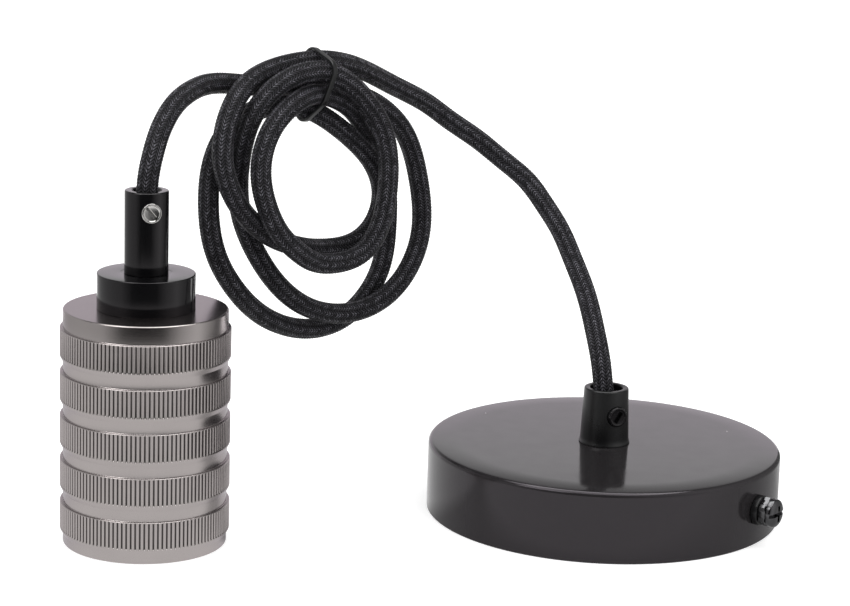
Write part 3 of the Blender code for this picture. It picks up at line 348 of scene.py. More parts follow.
class Surface(Graph):
    """The node tree of a new material with a plain Principled shader."""

    def __init__(self, name: str) -> None:
        """Start the material.

        Args:
            name: Name of the material.
        """
        self.material = bpy.data.materials.new(name)
        self.material.use_nodes = True
        super().__init__(self.material.node_tree)
        self.shader = self.tree.nodes["Principled BSDF"]

    def set(self, socket: str, value: Union[Value, Colour]) -> None:
        """Give one of the shader's sockets a value or a link."""
        self.feed(self.shader.inputs[socket], value)

    def bump(self, height: Value, distance: float, strength: float = 1.0) -> None:
        """Tilt the shader's normal by a height."""
        made = self.node("ShaderNodeBump", {"Height": height, "Distance": distance,
                                            "Strength": strength})
        self.set("Normal", made.outputs[0])


class StageMaterial(Graph):
    """The node tree of a new material for the stage, made of shaders that are given to it."""

    def __init__(self, name: str) -> None:
        """Start the material with nothing in it.

        Args:
            name: Name of the material.
        """
        self.material = bpy.data.materials.new(name)
        self.material.use_nodes = True
        super().__init__(self.material.node_tree)
        self.tree.nodes.clear()

    def finish(self, shader: bpy.types.Node) -> bpy.types.Material:
        """Show a shader, and give the material."""
        self.node("ShaderNodeOutputMaterial", {"Surface": shader.outputs[0]})
        return self.material


def scaled(value: float, span: tuple[float, float]) -> tuple[float, float]:
    """A value times the two ends of a span."""
    return value * span[0], value * span[1]


@dataclass(frozen=True)
class Finish:
    """Smooth finish with a fine change of roughness and colour, and faint unevenness.

    The variation is the colour's share up and down, and rough_span holds the roughness's lowest
    and highest share. The cloud that both follow is cloud_size times as coarse as the grain, and
    the roughness changes within cloud_range of its values. Specks are the share of a random
    lattice's cells that hold a pale dot.
    """

    name: str
    colour: Colour
    roughness: float
    metallic: float = 0.0
    variation: float = 0.12
    rough_span: tuple[float, float] = (0.85, 1.2)
    cloud_size: float = 8.0
    cloud_range: tuple[float, float] = (0.3, 0.7)
    grain: float = 900.0
    grain_depth: float = 0.004 * MM
    coat: float = 0.0
    coat_roughness: float = 0.06
    gloss: float = 0.5
    edge: Colour = WHITE
    specks: float = 0.0
    speck_colour: Colour = (0.75, 0.72, 0.7)
    speck_scale: float = 420.0
    speck_rim: tuple[float, float] = (0.05, 0.1)

    @cache
    def material(self) -> bpy.types.Material:
        """The finish's material, made once."""
        return self.draw()

    def start(self) -> Surface:
        """Shader with the finish's constant values.

        Returns:
            The node tree of the new material.
        """
        graph = Surface(self.name)
        graph.set("Metallic", self.metallic)
        graph.set("Specular IOR Level", self.gloss)
        graph.set("Specular Tint", self.edge)
        if self.coat:
            graph.set("Coat Weight", self.coat)
            graph.set("Coat Roughness", self.coat_roughness)
        return graph

    def tint(self, graph: Graph, value: Value, low: float, high: float) -> bpy.types.NodeSocket:
        """The finish's colour, darker where a value is low and lighter where it is high.

        Args:
            graph: Node tree.
            value: From nothing, where the colour is dark, to one, where it is light.
            low: Share of the colour at its darkest.
            high: Share of the colour at its lightest.

        Returns:
            The changed colour.
        """
        dark = tuple(part * low for part in self.colour)
        light = tuple(min(part * high, 1.0) for part in self.colour)
        return graph.mix(value, dark, light)

    def clouded(self, graph: Graph, place: bpy.types.NodeSocket,
                cloud: bpy.types.NodeSocket) -> bpy.types.NodeSocket:
        """The finish's colour, changed by a cloud, with its specks.

        Args:
            graph: Node tree.
            place: Coordinates that the specks follow.
            cloud: Broad noise that the colour follows.

        Returns:
            The changed colour.
        """
        colour = self.tint(graph, cloud, 1 - self.variation, 1 + self.variation)
        if not self.specks:
            return colour
        dots = graph.node("ShaderNodeTexVoronoi", {"Vector": place, "Scale": self.speck_scale},
                          feature="F1").outputs
        near = graph.spread(dots["Distance"], *self.speck_rim, 1.0, 0.0)
        chosen = graph.node("ShaderNodeTexWhiteNoise", {"Vector": dots["Position"]}).outputs["Value"]
        speck = graph.math("MULTIPLY", near, graph.math("GREATER_THAN", chosen, 1 - self.specks))
        return graph.mix(speck, colour, self.speck_colour)

    def draw(self) -> bpy.types.Material:
        """Make the material: noise in the colour and roughness, and a finer one in the surface.

        Returns:
            The material.
        """
        graph = self.start()
        place = graph.place()
        cloud = graph.noise(place, self.grain / self.cloud_size)
        graph.set("Base Color", self.clouded(graph, place, cloud))
        rough = scaled(self.roughness, self.rough_span)
        graph.set("Roughness", graph.spread(cloud, *self.cloud_range, *rough))
        graph.bump(graph.noise(place, self.grain), self.grain_depth)
        return graph.material


@dataclass(frozen=True)
class TurnedMetal(Finish):
    """Metal with the fine circles that a lathe leaves, round an upright axis.

    The circles are noise read at (distance from the axis, height), so it is the same all the way
    round. Flutes that carry their depth in the attribute `groove` are rougher, and have a painted
    shade: their colour goes darker with the depth. What lies higher than `polished_above` has
    `top_share` of the roughness.
    """

    axis: tuple[float, float, float] = (0.0, 0.0, 0.0)
    rough_span: tuple[float, float] = (0.95, 1.06)
    cloud_size: float = 10.0
    lines: float = 5200.0
    line_detail: float = 2.0
    line_range: tuple[float, float] = (0.25, 0.75)
    # Dark colour of the painted shade deep in the flutes.
    flute_shade_colour: Colour = (0.02, 0.018, 0.017)
    groove_roughness: float = 0.3
    polished_above: float = 10.0
    top_share: float = 0.95

    def draw(self) -> bpy.types.Material:
        """Make the material.

        Returns:
            The material.
        """
        graph = self.start()
        place = graph.place(self.axis)
        parts = graph.node("ShaderNodeSeparateXYZ", {0: place}).outputs
        flat = graph.node("ShaderNodeCombineXYZ", {0: parts[0], 1: parts[1]}).outputs[0]
        distance = graph.node("ShaderNodeVectorMath", {0: flat}, operation="LENGTH").outputs["Value"]
        ring = graph.node("ShaderNodeCombineXYZ", {0: distance, 1: parts[2]}).outputs[0]
        circles = graph.noise(ring, self.lines, self.line_detail)
        cloud = graph.noise(place, self.grain / self.cloud_size)
        groove = graph.attribute("groove")
        colour = self.clouded(graph, place, cloud)
        # Painted shade: the colour goes dark with the flute's depth, where less light falls.
        graph.set("Base Color", graph.mix(groove, colour, self.flute_shade_colour))
        rough = scaled(self.roughness, self.rough_span)
        rough = graph.spread(circles, *self.line_range, *rough)
        on_top = graph.math("GREATER_THAN", parts[2], self.polished_above)
        rough = graph.math("MULTIPLY", rough, graph.spread(on_top, 0.0, 1.0, 1.0, self.top_share))
        rougher = graph.math("MULTIPLY", groove, self.groove_roughness)
        graph.set("Roughness", graph.math("ADD", rough, rougher))
        graph.bump(circles, self.grain_depth)
        return graph.material


@dataclass(frozen=True)
class Braid(Finish):
    """Tight braid on the piece's own map: first coordinate in columns round the cord, second in
    stitches along it.

    Columns lean left and right in turn. In a column a stitch's edge runs at the column's lean, and
    its height falls off towards its four edges. Fine fibres run along the lean. The colour holds
    painted light: a painted highlight that is palest at the tip that meets its neighbour's and
    brighter on some stitches at random, painted highlight lines along the fibres, and painted
    shade, near black, in the low gaps between stitches.
    """

    rough_span: tuple[float, float] = (1.15, 0.75)
    lean: float = 1.3
    fibres: float = 3.0
    fibre_height: float = 0.12
    fibre_shade: float = 0.6
    stitch_edge: tuple[float, float] = (0.44, 0.18)
    column_edge: tuple[float, float] = (0.52, 0.36)
    tip_reach: float = 0.36
    tip_shade: float = 0.15
    # Share of the base colour at a stitch's dim end and at its painted highlight.
    tip_highlight_span: tuple[float, float] = (0.9, 7.5)
    crown_power: float = 1.4
    depth: float = 0.3 * MM
    depth_share: float = 0.9
    # Near-black colour of the painted shade in the gaps between stitches.
    gap_shade_colour: Colour = (0.002, 0.002, 0.0025)

    def draw(self) -> bpy.types.Material:
        """Make the material.

        Returns:
            The material.
        """
        graph = self.start()
        source = graph.node("ShaderNodeUVMap", {}, uv_map=BRAID_MAP).outputs[0]
        parts = graph.node("ShaderNodeSeparateXYZ", {0: source}).outputs
        column = graph.math("FLOOR", parts[0])
        across = graph.math("SUBTRACT", graph.math("FRACT", parts[0]), 0.5)
        twice = graph.math("MULTIPLY", graph.math("MODULO", column, 2.0), 2.0)
        signed = graph.math("MULTIPLY", graph.math("SUBTRACT", twice, 1.0), across)
        along = graph.math("ADD", parts[1], graph.math("MULTIPLY", signed, self.lean))
        stitch = graph.math("FLOOR", along)
        within = graph.math("SUBTRACT", graph.math("FRACT", along), 0.5)
        edge = graph.spread(graph.math("ABSOLUTE", within), *self.stitch_edge)
        rim = graph.spread(graph.math("ABSOLUTE", across), *self.column_edge)
        height = graph.math("MULTIPLY", edge, rim)
        wave = graph.math("SINE", graph.math("MULTIPLY", within, self.fibres * math.tau))
        thread = graph.math("MULTIPLY", wave, self.fibre_height)
        cell = graph.node("ShaderNodeCombineXYZ", {0: column, 1: stitch}).outputs[0]
        chance = graph.node("ShaderNodeTexWhiteNoise", {"Vector": cell}).outputs["Value"]
        # Painted highlight: lightest at the tip that meets the neighbour's, brighter on some stitches
        # at random.
        tip = graph.spread(signed, 0.0, self.tip_reach, self.tip_shade, 1.0)
        tint = self.tint(graph, graph.math("MULTIPLY", tip, chance), *self.tip_highlight_span)
        # Painted highlight lines along the fibres, and painted shade in the low gaps, where the colour
        # goes to near black.
        shine = graph.spread(wave, -1.0, 1.0, self.fibre_shade, 1.0)
        crown = graph.math("MULTIPLY", graph.math("POWER", height, self.crown_power), shine)
        graph.set("Base Color", graph.mix(crown, self.gap_shade_colour, tint))
        rough = scaled(self.roughness, self.rough_span)
        graph.set("Roughness", graph.spread(chance, 0.0, 1.0, *rough))
        graph.bump(graph.math("ADD", height, thread), self.depth, self.depth_share)
        return graph.material


# Pieces


def in_scene(name: str, data: bpy.types.ID) -> bpy.types.Object:
    """Object of a mesh, a light or a camera, put in the scene.

    Args:
        name: Name of the object.
        data: The mesh, light or camera.

    Returns:
        The object.
    """
    made = bpy.data.objects.new(name, data)
    bpy.context.scene.collection.objects.link(made)
    return made


def to_mesh(name: str, points: Array, faces: list, corners: Optional[Array] = None,
            groove: Optional[Array] = None, sharp: float = SHARP) -> bpy.types.Object:
    """Make a closed mesh object of points and faces, merged and facing outwards.

    Args:
        name: Name of the object.
        points: Points in the model's frame.
        faces: Point numbers of each face.
        corners: Map coordinates of each face corner.
        groove: Depth in the flutes at each point, from nothing to one.
        sharp: Angle in degrees past which an edge stays sharp.

    Returns:
        The object.
    """
    mesh = bpy.data.meshes.new(name)
    mesh.from_pydata(points.reshape(-1, 3).tolist(), [], faces)
    if corners is not None:
        layer = mesh.uv_layers.new(name=BRAID_MAP)
        layer.data.foreach_set("uv", corners.ravel())
    if groove is not None:
        mesh.attributes.new("groove", "FLOAT", "POINT").data.foreach_set("value", groove.ravel())
    bm = bmesh.new()
    bm.from_mesh(mesh)
    bmesh.ops.remove_doubles(bm, verts=bm.verts, dist=1e-7)
    bmesh.ops.dissolve_degenerate(bm, edges=bm.edges, dist=1e-8)
    bmesh.ops.recalc_face_normals(bm, faces=bm.faces)
    bm.to_mesh(mesh)
    bm.free()
    mesh.shade_smooth()
    mesh.set_sharp_from_angle(angle=math.radians(sharp))
    return in_scene(name, mesh)


def adopt(piece: bpy.types.Object, finish: Finish, slot: str, *nodes: str) -> bpy.types.Object:
    """Dress a piece, let it ride on the body, and let it stand for the frame's nodes.

    Args:
        piece: The piece.
        finish: Its finish.
        slot: Name of a material slot; not used.
        nodes: The frame's nodes that it replaces.

    Returns:
        The piece.
    """
    piece.data.materials.clear()
    piece.data.materials.append(finish.material())
    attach(piece, BODY)
    if nodes:
        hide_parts(*nodes)
    LOG.info("%s: %d faces", piece.name, len(piece.data.polygons))
    return piece


def turned_piece(name: str, outline: Array, columns: int, origin: Array,
                 turn: Optional[Array] = None, rule: Optional[RadiusRule] = None,
                 sharp: float = SHARP) -> bpy.types.Object:
    """Make a turned piece at a place.

    Args:
        name: Name of the object.
        outline: Closed outline of radius and height.
        columns: Positions round the axis.
        origin: Place of the outline's zero.
        turn: Rotation of the piece before it is placed.
        rule: Radius rule, for a piece that isn't round.
        sharp: Angle in degrees past which an edge stays sharp.

    Returns:
        The object.
    """
    grid = turned(outline, np.arange(columns) * math.tau / columns, rule)
    if turn is not None:
        grid = grid @ turn.T
    faces, _ = quads(columns, len(outline), True, True)
    return to_mesh(name, grid + origin, faces.tolist(), sharp=sharp)


def rod(name: str, radius: float, low: float, high: float, columns: int,
        turn: Optional[Array] = None, origin: Sequence[float] = (0.0, 0.0, 0.0)) -> bpy.types.Object:
    """Round rod to cut with, between two heights on its axis.

    Args:
        name: Name of the object.
        radius: Radius of the rod.
        low: Height of its foot.
        high: Height of its top.
        columns: Positions round the axis.
        turn: Rotation of the rod.
        origin: Place of its zero.

    Returns:
        The object.
    """
    outline = np.array(((0.0, low), (radius, low), (radius, high), (0.0, high)))
    return turned_piece(name, outline, columns, np.array(origin), turn)


def washer_piece(name: str, bore: float, radius: float, span: tuple[float, float],
                 eases: tuple[float, float], origin: Array,
                 turn: Optional[Array] = None) -> bpy.types.Object:
    """Washer between two heights on its axis, with an eased rim at each.

    Args:
        name: Name of the object.
        bore: Radius of the hole.
        radius: Radius of the washer.
        span: Its two heights.
        eases: Ease of the rim at each height.
        origin: Place of the axis's zero.
        turn: Rotation of the washer before it is placed.

    Returns:
        The object.
    """
    (low, high), (ease_low, ease_high) = span, eases
    outline = eased(((bore, low, 0.0), (radius, low, ease_low), (radius, high, ease_high),
                     (bore, high, 0.0)), 3)
    return turned_piece(name, outline, 64, origin, turn)


def nut_piece(name: str, across_flats: float, bore: float, span: tuple[float, float], origin: Array,
              turn: Optional[Array] = None) -> bpy.types.Object:
    """Hexagon nut with turned chamfers, between two heights on its axis.

    Args:
        name: Name of the object.
        across_flats: Width between two flats.
        bore: Radius of the hole.
        span: Its two heights.
        origin: Place of the axis's zero.
        turn: Rotation of the nut before it is placed.

    Returns:
        The object.
    """
    low, high = span
    corner = across_flats / 2 / math.cos(math.pi / 6)
    face = NUT_FACE * across_flats / 2
    drop = NUT_CHAMFER * (corner - face)
    outline = np.array(((bore, low), (face, low), (corner, low + drop), (corner, high - drop),
                        (face, high), (bore, high)))
    return turned_piece(name, outline, 96, origin, turn, hexagon(across_flats), NUT_SHARP)


def tube_piece(name: str, path: Array, reference: Array, radius: Array, stitches: float,
               columns: float) -> bpy.types.Object:
    """Make a round cord with closed ends along a path, with a map for its pattern.

    Args:
        name: Name of the object.
        path: Evenly spaced path points.
        reference: A direction that the path never runs along.
        radius: Radii, path points by ring angles.
        stitches: Pattern repeats along the whole path.
        columns: Pattern repeats round the cord.

    Returns:
        The object.
    """
    count, sides = radius.shape
    points = np.vstack((tube_grid(path, reference, radius).reshape(-1, 3), path[:1], path[-1:]))
    faces, corner = quads(count, sides, False, True)
    scale = np.array((columns / sides, stitches / (count - 1)))
    maps = corner[..., ::-1] * scale
    edge = np.arange(sides)
    after = (edge + 1) % sides
    last = (count - 1) * sides
    start = np.stack((np.full(sides, count * sides), edge, after), axis=1)
    end = np.stack((np.full(sides, count * sides + 1), last + after, last + edge), axis=1)
    flat = np.vstack((maps.reshape(-1, 2), np.zeros((6 * sides, 2))))
    return to_mesh(name, points, faces.tolist() + start.tolist() + end.tolist(), flat)


def box_mesh(name: str, size: Sequence[float], middle: Sequence[float],
             flare: float = 0.0) -> bpy.types.Object:
    """Make a block to cut with, whose upper half widens by the flare on each long side.

    Args:
        name: Name of the object.
        size: Length, width and height.
        middle: Middle of the block.
        flare: What each long side moves out at the top.

    Returns:
        The object.
    """
    bm = bmesh.new()
    bmesh.ops.create_cube(bm, size=1.0, matrix=Matrix.Diagonal((*size, 1.0)))
    for vertex in bm.verts:
        if vertex.co.z > 0:
            vertex.co.y += math.copysign(flare, vertex.co.y)
    bmesh.ops.translate(bm, verts=bm.verts, vec=middle)
    mesh = bpy.data.meshes.new(name)
    bm.to_mesh(mesh)
    bm.free()
    return in_scene(name, mesh)


def carve(piece: bpy.types.Object, cutters: Sequence[bpy.types.Object], turn: Array,
          origin: Array) -> None:
    """Cut local shapes out of a placed piece, and remove the shapes.

    Args:
        piece: The piece, in its place.
        cutters: Shapes to cut with, in the piece's local frame.
        turn: Rotation of that frame.
        origin: Place of that frame.
    """
    place = Matrix.Translation(origin) @ Matrix(turn.tolist()).to_4x4()
    for cutter in cutters:
        cutter.data.transform(place)
        boolean = piece.modifiers.new(cutter.name, "BOOLEAN")
        boolean.operation = "DIFFERENCE"
        boolean.solver = "EXACT"
        boolean.object = cutter
    graph = bpy.context.evaluated_depsgraph_get()
    mesh = bpy.data.meshes.new_from_object(piece.evaluated_get(graph))
    piece.modifiers.clear()
    piece.data = mesh
    mesh.shade_smooth()
    mesh.set_sharp_from_angle(angle=math.radians(SHARP))
    for cutter in cutters:
        bpy.data.objects.remove(cutter)


def dress(finish: Finish, *nodes: str) -> None:
    """Give the frame's own pieces a finish.

    Args:
        finish: The finish.
        nodes: Names of the frame's nodes.
    """
    for name in nodes:
        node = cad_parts[name]
        node.data.materials.clear()
        node.data.materials.append(finish.material())
        LOG.info("%s keeps its shape", name)


@dataclass
class Finishes:
    """All finishes of the set."""

    holder_axis: tuple[float, float, float]
    shell: Finish = field(init=False)
    polish: Finish = field(init=False)
    paint: Finish = Finish("satin_black_paint", (0.018, 0.0165, 0.0175), 0.12, variation=0.04,
                           grain=1500.0, grain_depth=0.0005 * MM, gloss=0.37,
                           edge=(1.0, 0.91, 1.0), specks=0.012)
    nickel: Finish = Finish("bright_nickel", (0.74, 0.73, 0.71), 0.16, 1.0)
    zinc: Finish = Finish("zinc_plate", (0.62, 0.62, 0.63), 0.36, 1.0)
    brass: Finish = Finish("plain_brass", (0.78, 0.57, 0.26), 0.3, 1.0)
    porcelain: Finish = Finish("white_glaze", (0.82, 0.81, 0.77), 0.18, variation=0.03, coat=0.4)
    plastic: Finish = Finish("black_moulding", (0.006, 0.006, 0.0065), 0.3, gloss=0.4,
                             grain_depth=0.001 * MM, specks=0.006)
    plated: Finish = Finish("black_plating", (0.1, 0.1, 0.103), 0.16, 1.0, grain_depth=0.001 * MM)
    nylon: Finish = Finish("white_nylon", (0.8, 0.8, 0.76), 0.5, variation=0.04)
    tie: Finish = Finish("tie_rubber", (0.01, 0.01, 0.0105), 0.28, gloss=0.4)
    braid: Finish = Braid("black_braid", (0.036, 0.035, 0.04), 0.5, gloss=0.14)
    live: Finish = Finish("brown_core", (0.16, 0.055, 0.022), 0.45)
    neutral: Finish = Finish("blue_core", (0.02, 0.09, 0.38), 0.45)
    earth: Finish = Finish("yellow_core", (0.75, 0.62, 0.02), 0.45, variation=0.0,
                           rough_span=(1.0, 1.0), grain_depth=0.0)

    def __post_init__(self) -> None:
        """Make the finishes that turn round the holder's axis."""
        self.shell = TurnedMetal("warm_dark_nickel", (0.42, 0.385, 0.377), 0.24, 1.0,
                                 axis=self.holder_axis, specks=0.02, variation=0.05,
                                 grain_depth=0.0003 * MM, polished_above=64.7 * MM,
                                 edge=(0.72, 0.7, 0.73))
        self.polish = TurnedMetal("black_lacquer", (0.004, 0.004, 0.0045), 0.12, 0.0,
                                  axis=self.holder_axis, variation=0.05, grain_depth=0.0003 * MM,
                                  gloss=0.45, specks=0.004, edge=(1.0, 0.95, 0.98))


@dataclass(frozen=True)
class ClampScrew:
    """Clamping screw in the side of a cord grip.

    Distances are counted from the grip's axis outwards along the screw's direction. The slot is
    given as length, width and depth, and its upper half widens by the flare on each long side.
    """

    height: float
    direction: float
    turn: float
    radius: float
    inner: float
    outer: float
    hole_radius: float
    hole_outer: float
    slot: tuple[float, float, float]
    flare: float
    hole_inner: float = 1.5 * MM

    def drill(self, grip: bpy.types.Object, axis: Array) -> None:
        """Cut the screw's hole into the side of a grip."""
        hole = rod("screw_hole", self.hole_radius, self.hole_inner, self.hole_outer, 48)
        carve(grip, [hole], outward(self.direction), axis + (0, 0, self.height))

    def make(self, name: str, outline: Array, axis: Array) -> bpy.types.Object:
        """Turn the screw from its outline and cut its slot.

        Args:
            name: Name of the object.
            outline: Closed outline of radius and distance outwards.
            axis: Foot of the grip's axis.

        Returns:
            The screw.
        """
        origin = axis + (0, 0, self.height)
        turn = outward(self.direction)
        made = turned_piece(name, outline, 48, origin, turn)
        slot = box_mesh("slot", self.slot, (0, 0, self.outer), self.flare)
        slot.data.transform(Matrix.Rotation(self.turn, 4, "Z"))
        carve(made, [slot], turn, origin)
        return made


@dataclass
class Fitting:
    """What the holder and the canopy share: a thread on the axis, with its washers and nuts."""

    axis: Array
    finishes: Finishes
    thread_radius: float = 4.9 * MM
    clearance: float = 0.3 * MM
    cord_bore: float = 3.6 * MM
    washer_radius: float = 9.0 * MM
    washer_thickness: float = 1.0 * MM
    washer_ease: float = 0.2 * MM
    nut_width: float = 14.0 * MM
    nut_height: float = 3.0 * MM

    @property
    def eye(self) -> float:
        """Radius of the holes that the thread passes through."""
        return self.thread_radius + self.clearance

    def washer(self, name: str, node: str, foot: float) -> None:
        """Zinc washer round the thread, from its foot up."""
        made = washer_piece(name, self.eye, self.washer_radius, (foot, foot + self.washer_thickness),
                            (self.washer_ease, self.washer_ease), self.axis)
        adopt(made, self.finishes.zinc, "zinc", node)

    def nut(self, name: str, node: str, foot: float) -> None:
        """Zinc nut on the thread, from its foot up."""
        made = nut_piece(name, self.nut_width, self.eye, (foot, foot + self.nut_height), self.axis)
        adopt(made, self.finishes.zinc, "zinc", node)


@dataclass
class LampHolder(Fitting):
    """Ribbed shell, collar, cord grip and what is inside the shell."""

    shell_height: float = 64.9 * MM
    band_radius: float = 23.0 * MM
    groove_radius: float = 22.2 * MM
    bore: float = 20.3 * MM
    top_thickness: float = 2.0 * MM
    band_count: int = 5
    band_pitch: float = 12.05 * MM
    band_height: float = 7.7 * MM
    first_band_foot: float = 4.0 * MM
    foot_slope: float = 1.55 * MM
    head_slope: float = 0.5 * MM
    flute_count: int = 120
    flute_depth: float = 0.32 * MM
    flute_half: float = 0.2
    ridge_crown: float = 0.09 * MM
    flute_columns: tuple[float, ...] = (-0.2, -0.12, 0.12, 0.2, 0.35, 0.5, 0.65)
    collar_radius: float = 13.25 * MM
    collar_height: float = 9.8 * MM
    grip_radius: float = 5.95 * MM
    grip_step: float = 84.3 * MM
    mouth: float = 97.1 * MM
    nipple_span: tuple[float, float] = (52.5 * MM, 84.0 * MM)
    nipple_bore: float = 3.4 * MM
    nipple_end: float = 4.3 * MM
    nipple_pitch: float = 1.0 * MM
    nipple_depth: float = 0.4 * MM
    washer_foot: float = 61.6 * MM
    nipple_nut_foot: float = 58.3 * MM
    strap_nut_foot: float = 53.5 * MM
    socket_radius: float = 19.4 * MM
    socket_bore: float = 14.3 * MM
    socket_span: tuple[float, float] = (5.0 * MM, 44.0 * MM)
    socket_floor: float = 31.0 * MM
    drill_radius: float = 1.7 * MM
    drill_reach: float = 14.1 * MM
    drill_span: tuple[float, float] = (38.0 * MM, 46.0 * MM)
    lamp_pitch: float = 3.62 * MM
    lamp_turns: int = 6
    lamp_radius: float = 12.95 * MM
    lamp_wave: float = 0.45 * MM
    lamp_wall: float = 0.4 * MM
    lamp_top: float = 30.7 * MM
    lamp_under: float = 30.1 * MM
    lamp_hole: float = 7.6 * MM
    screw: ClampScrew = ClampScrew(
        height=91.8 * MM, direction=math.radians(-70.8), turn=math.radians(40.0), radius=2.7 * MM,
        inner=3.3 * MM, outer=6.25 * MM, hole_radius=2.78 * MM, hole_outer=9.0 * MM,
        slot=(4.4 * MM, 0.7 * MM, 2.4 * MM), flare=0.35 * MM)

    def build(self) -> None:
        """Build and dress every piece of the holder."""
        self.shell()
        self.collar()
        self.grip()
        self.grip_screw()
        self.nipple()
        self.washer("nipple_washer_turned", "nipple_washer", self.washer_foot)
        self.nut("nipple_nut_hex", "nipple_nut", self.nipple_nut_foot)
        self.nut("strap_nut_hex", "strap_nut", self.strap_nut_foot)
        self.socket()
        self.screw_shell()
        self.carried_over()

    def band_rows(self, foot: float) -> Array:
        """Rows of one band from its foot up: radius, height and share of the flutes' depth.

        Args:
            foot: Height of the band's foot.

        Returns:
            The rows.
        """
        head = foot + self.band_height
        out, groove = self.band_radius, self.groove_radius
        step = out - groove
        return np.array((
            (groove, foot - self.foot_slope, 0.0),
            (groove + 0.06 * step, foot - 0.92 * self.foot_slope, 0.0),
            (out - 0.06 * step, foot - 0.08 * self.foot_slope, 0.0),
            (out, foot, 0.0),
            (out, foot + 0.12 * MM, 0.0),
            (out, foot + 0.4 * MM, 0.9),
            (out, foot + 0.5 * MM, 1.0),
            (out, head - 0.42 * MM, 1.0),
            (out, head - 0.36 * MM, 0.9),
            (out, head - 0.2 * MM, 0.0),
            (out, head - 0.18 * MM, 0.0),
            (out - 0.02 * MM, head - 0.14 * MM, 0.0),
            (out - 0.14 * MM, head - 0.02 * MM, 0.0),
            (out - 0.18 * MM, head, 0.0),
            (groove + 0.12 * step, head + 0.03 * MM, 0.0),
            (groove + 0.03 * step, head + 0.25 * self.head_slope, 0.0),
            (groove, head + self.head_slope, 0.0),
        ))

    def shell(self) -> None:
        """Shell with fluted bands.

        Across a flute its depth is that of half an ellipse, the root of one less the squared
        distance from its middle. A ridge lies between two flutes, and falls off from its middle
        with the square of the distance. Each flute has columns where its shape needs them, given
        as shares of the pitch from the flute's middle.
        """
        top, ceiling = self.shell_height, self.shell_height - self.top_thickness
        rim = self.groove_radius
        bands = [self.band_rows(self.first_band_foot + number * self.band_pitch)
                 for number in range(self.band_count)]
        foot = np.array(((self.bore, 0.0, 0.0), (self.bore + 0.2 * MM, 0.0, 0.0),
                         (rim - 0.3 * MM, 0.0, 0.0), (rim - 0.09 * MM, 0.09 * MM, 0.0),
                         (rim, 0.3 * MM, 0.0)))
        head = np.array(((rim, top - 0.34 * MM, 0.0), (rim - 0.03 * MM, top - 0.24 * MM, 0.0),
                         (rim - 0.22 * MM, top - 0.04 * MM, 0.0), (rim - 0.32 * MM, top, 0.0),
                         (rim - 0.6 * MM, top, 0.0), (self.eye, top, 0.0), (self.eye, ceiling, 0.0),
                         (self.bore - 0.5 * MM, ceiling, 0.0),
                         (self.bore, ceiling - 0.5 * MM, 0.0)))
        rows = np.vstack((foot, *bands, head))
        share = np.array(self.flute_columns)
        angles = (np.arange(self.flute_count)[:, None] + share).ravel() * math.tau / self.flute_count
        flute = np.sqrt(np.clip(1.0 - (share / self.flute_half) ** 2, 0.0, 1.0))
        fall = np.clip((share - 0.5) / (0.5 - self.flute_half), -1.0, 1.0) ** 2
        depth = np.tile(flute, self.flute_count)[:, None] * rows[None, :, 2]
        crown = np.tile(fall, self.flute_count)[:, None] * rows[None, :, 2]

        def rule(_angle: Array, radius: Array) -> Array:
            """Outline's radius less the flute's depth and the ridge's fall."""
            return radius - self.flute_depth * depth - self.ridge_crown * crown

        grid = turned(rows[:, :2], angles, rule) + self.axis
        faces, _ = quads(len(angles), len(rows), True, True)
        made = to_mesh("holder_shell_fluted", grid, faces.tolist(), groove=depth)
        adopt(made, self.finishes.shell, "shell_metal", "holder_shell")

    def collar(self) -> None:
        """Collar on the shell's top plate, with a shallow recess round the grip's foot."""
        foot = self.shell_height + 0.03 * MM
        top = foot + self.collar_height - 0.1 * MM
        face = self.grip_radius + 1.05 * MM
        recess = 0.06 * MM
        outline = eased((
            (self.eye, foot, 0.0), (self.collar_radius, foot, 0.15 * MM),
            (self.collar_radius, top, 0.32 * MM), (face, top, 0.05 * MM),
            (face - 0.08 * MM, top - recess, 0.03 * MM), (self.eye, top - recess, 0.0)), 5)
        made = turned_piece("collar_turned", outline, 160, self.axis)
        adopt(made, self.finishes.polish, "black_polish", "shell_collar")

    def grip(self) -> None:
        """Cord grip: a tube with an eased foot and mouth, and the screw's hole."""
        foot = self.shell_height + self.collar_height - 0.1 * MM
        outline = eased((
            (self.eye, foot, 0.0), (self.grip_radius, foot, 0.22 * MM),
            (self.grip_radius, self.mouth, 0.45 * MM),
            (self.cord_bore + 0.5 * MM, self.mouth, 0.2 * MM),
            (self.cord_bore, self.mouth - 0.9 * MM, 0.4 * MM),
            (self.cord_bore, self.grip_step, 0.0), (self.eye, self.grip_step, 0.0)), 5)
        made = turned_piece("holder_grip_turned", outline, 96, self.axis)
        self.screw.drill(made, self.axis)
        adopt(made, self.finishes.polish, "black_polish", "holder_cord_grip")

    def grip_screw(self) -> None:
        """Nickel clamping screw with a cupped slotted end."""
        radius, inner, outer = self.screw.radius, self.screw.inner, self.screw.outer
        outline = eased((
            (0.0, inner, 0.0), (radius, inner, 0.3 * MM), (radius, outer, 0.35 * MM),
            (radius - 0.45 * MM, outer, 0.1 * MM), (radius - 0.7 * MM, outer - 0.3 * MM, 0.15 * MM),
            (1.0 * MM, outer - 0.38 * MM, 0.4 * MM), (0.0, outer - 0.4 * MM, 0.0)), 6)
        made = self.screw.make("holder_screw_turned", outline, self.axis)
        adopt(made, self.finishes.nickel, "nickel", "holder_grip_screw")

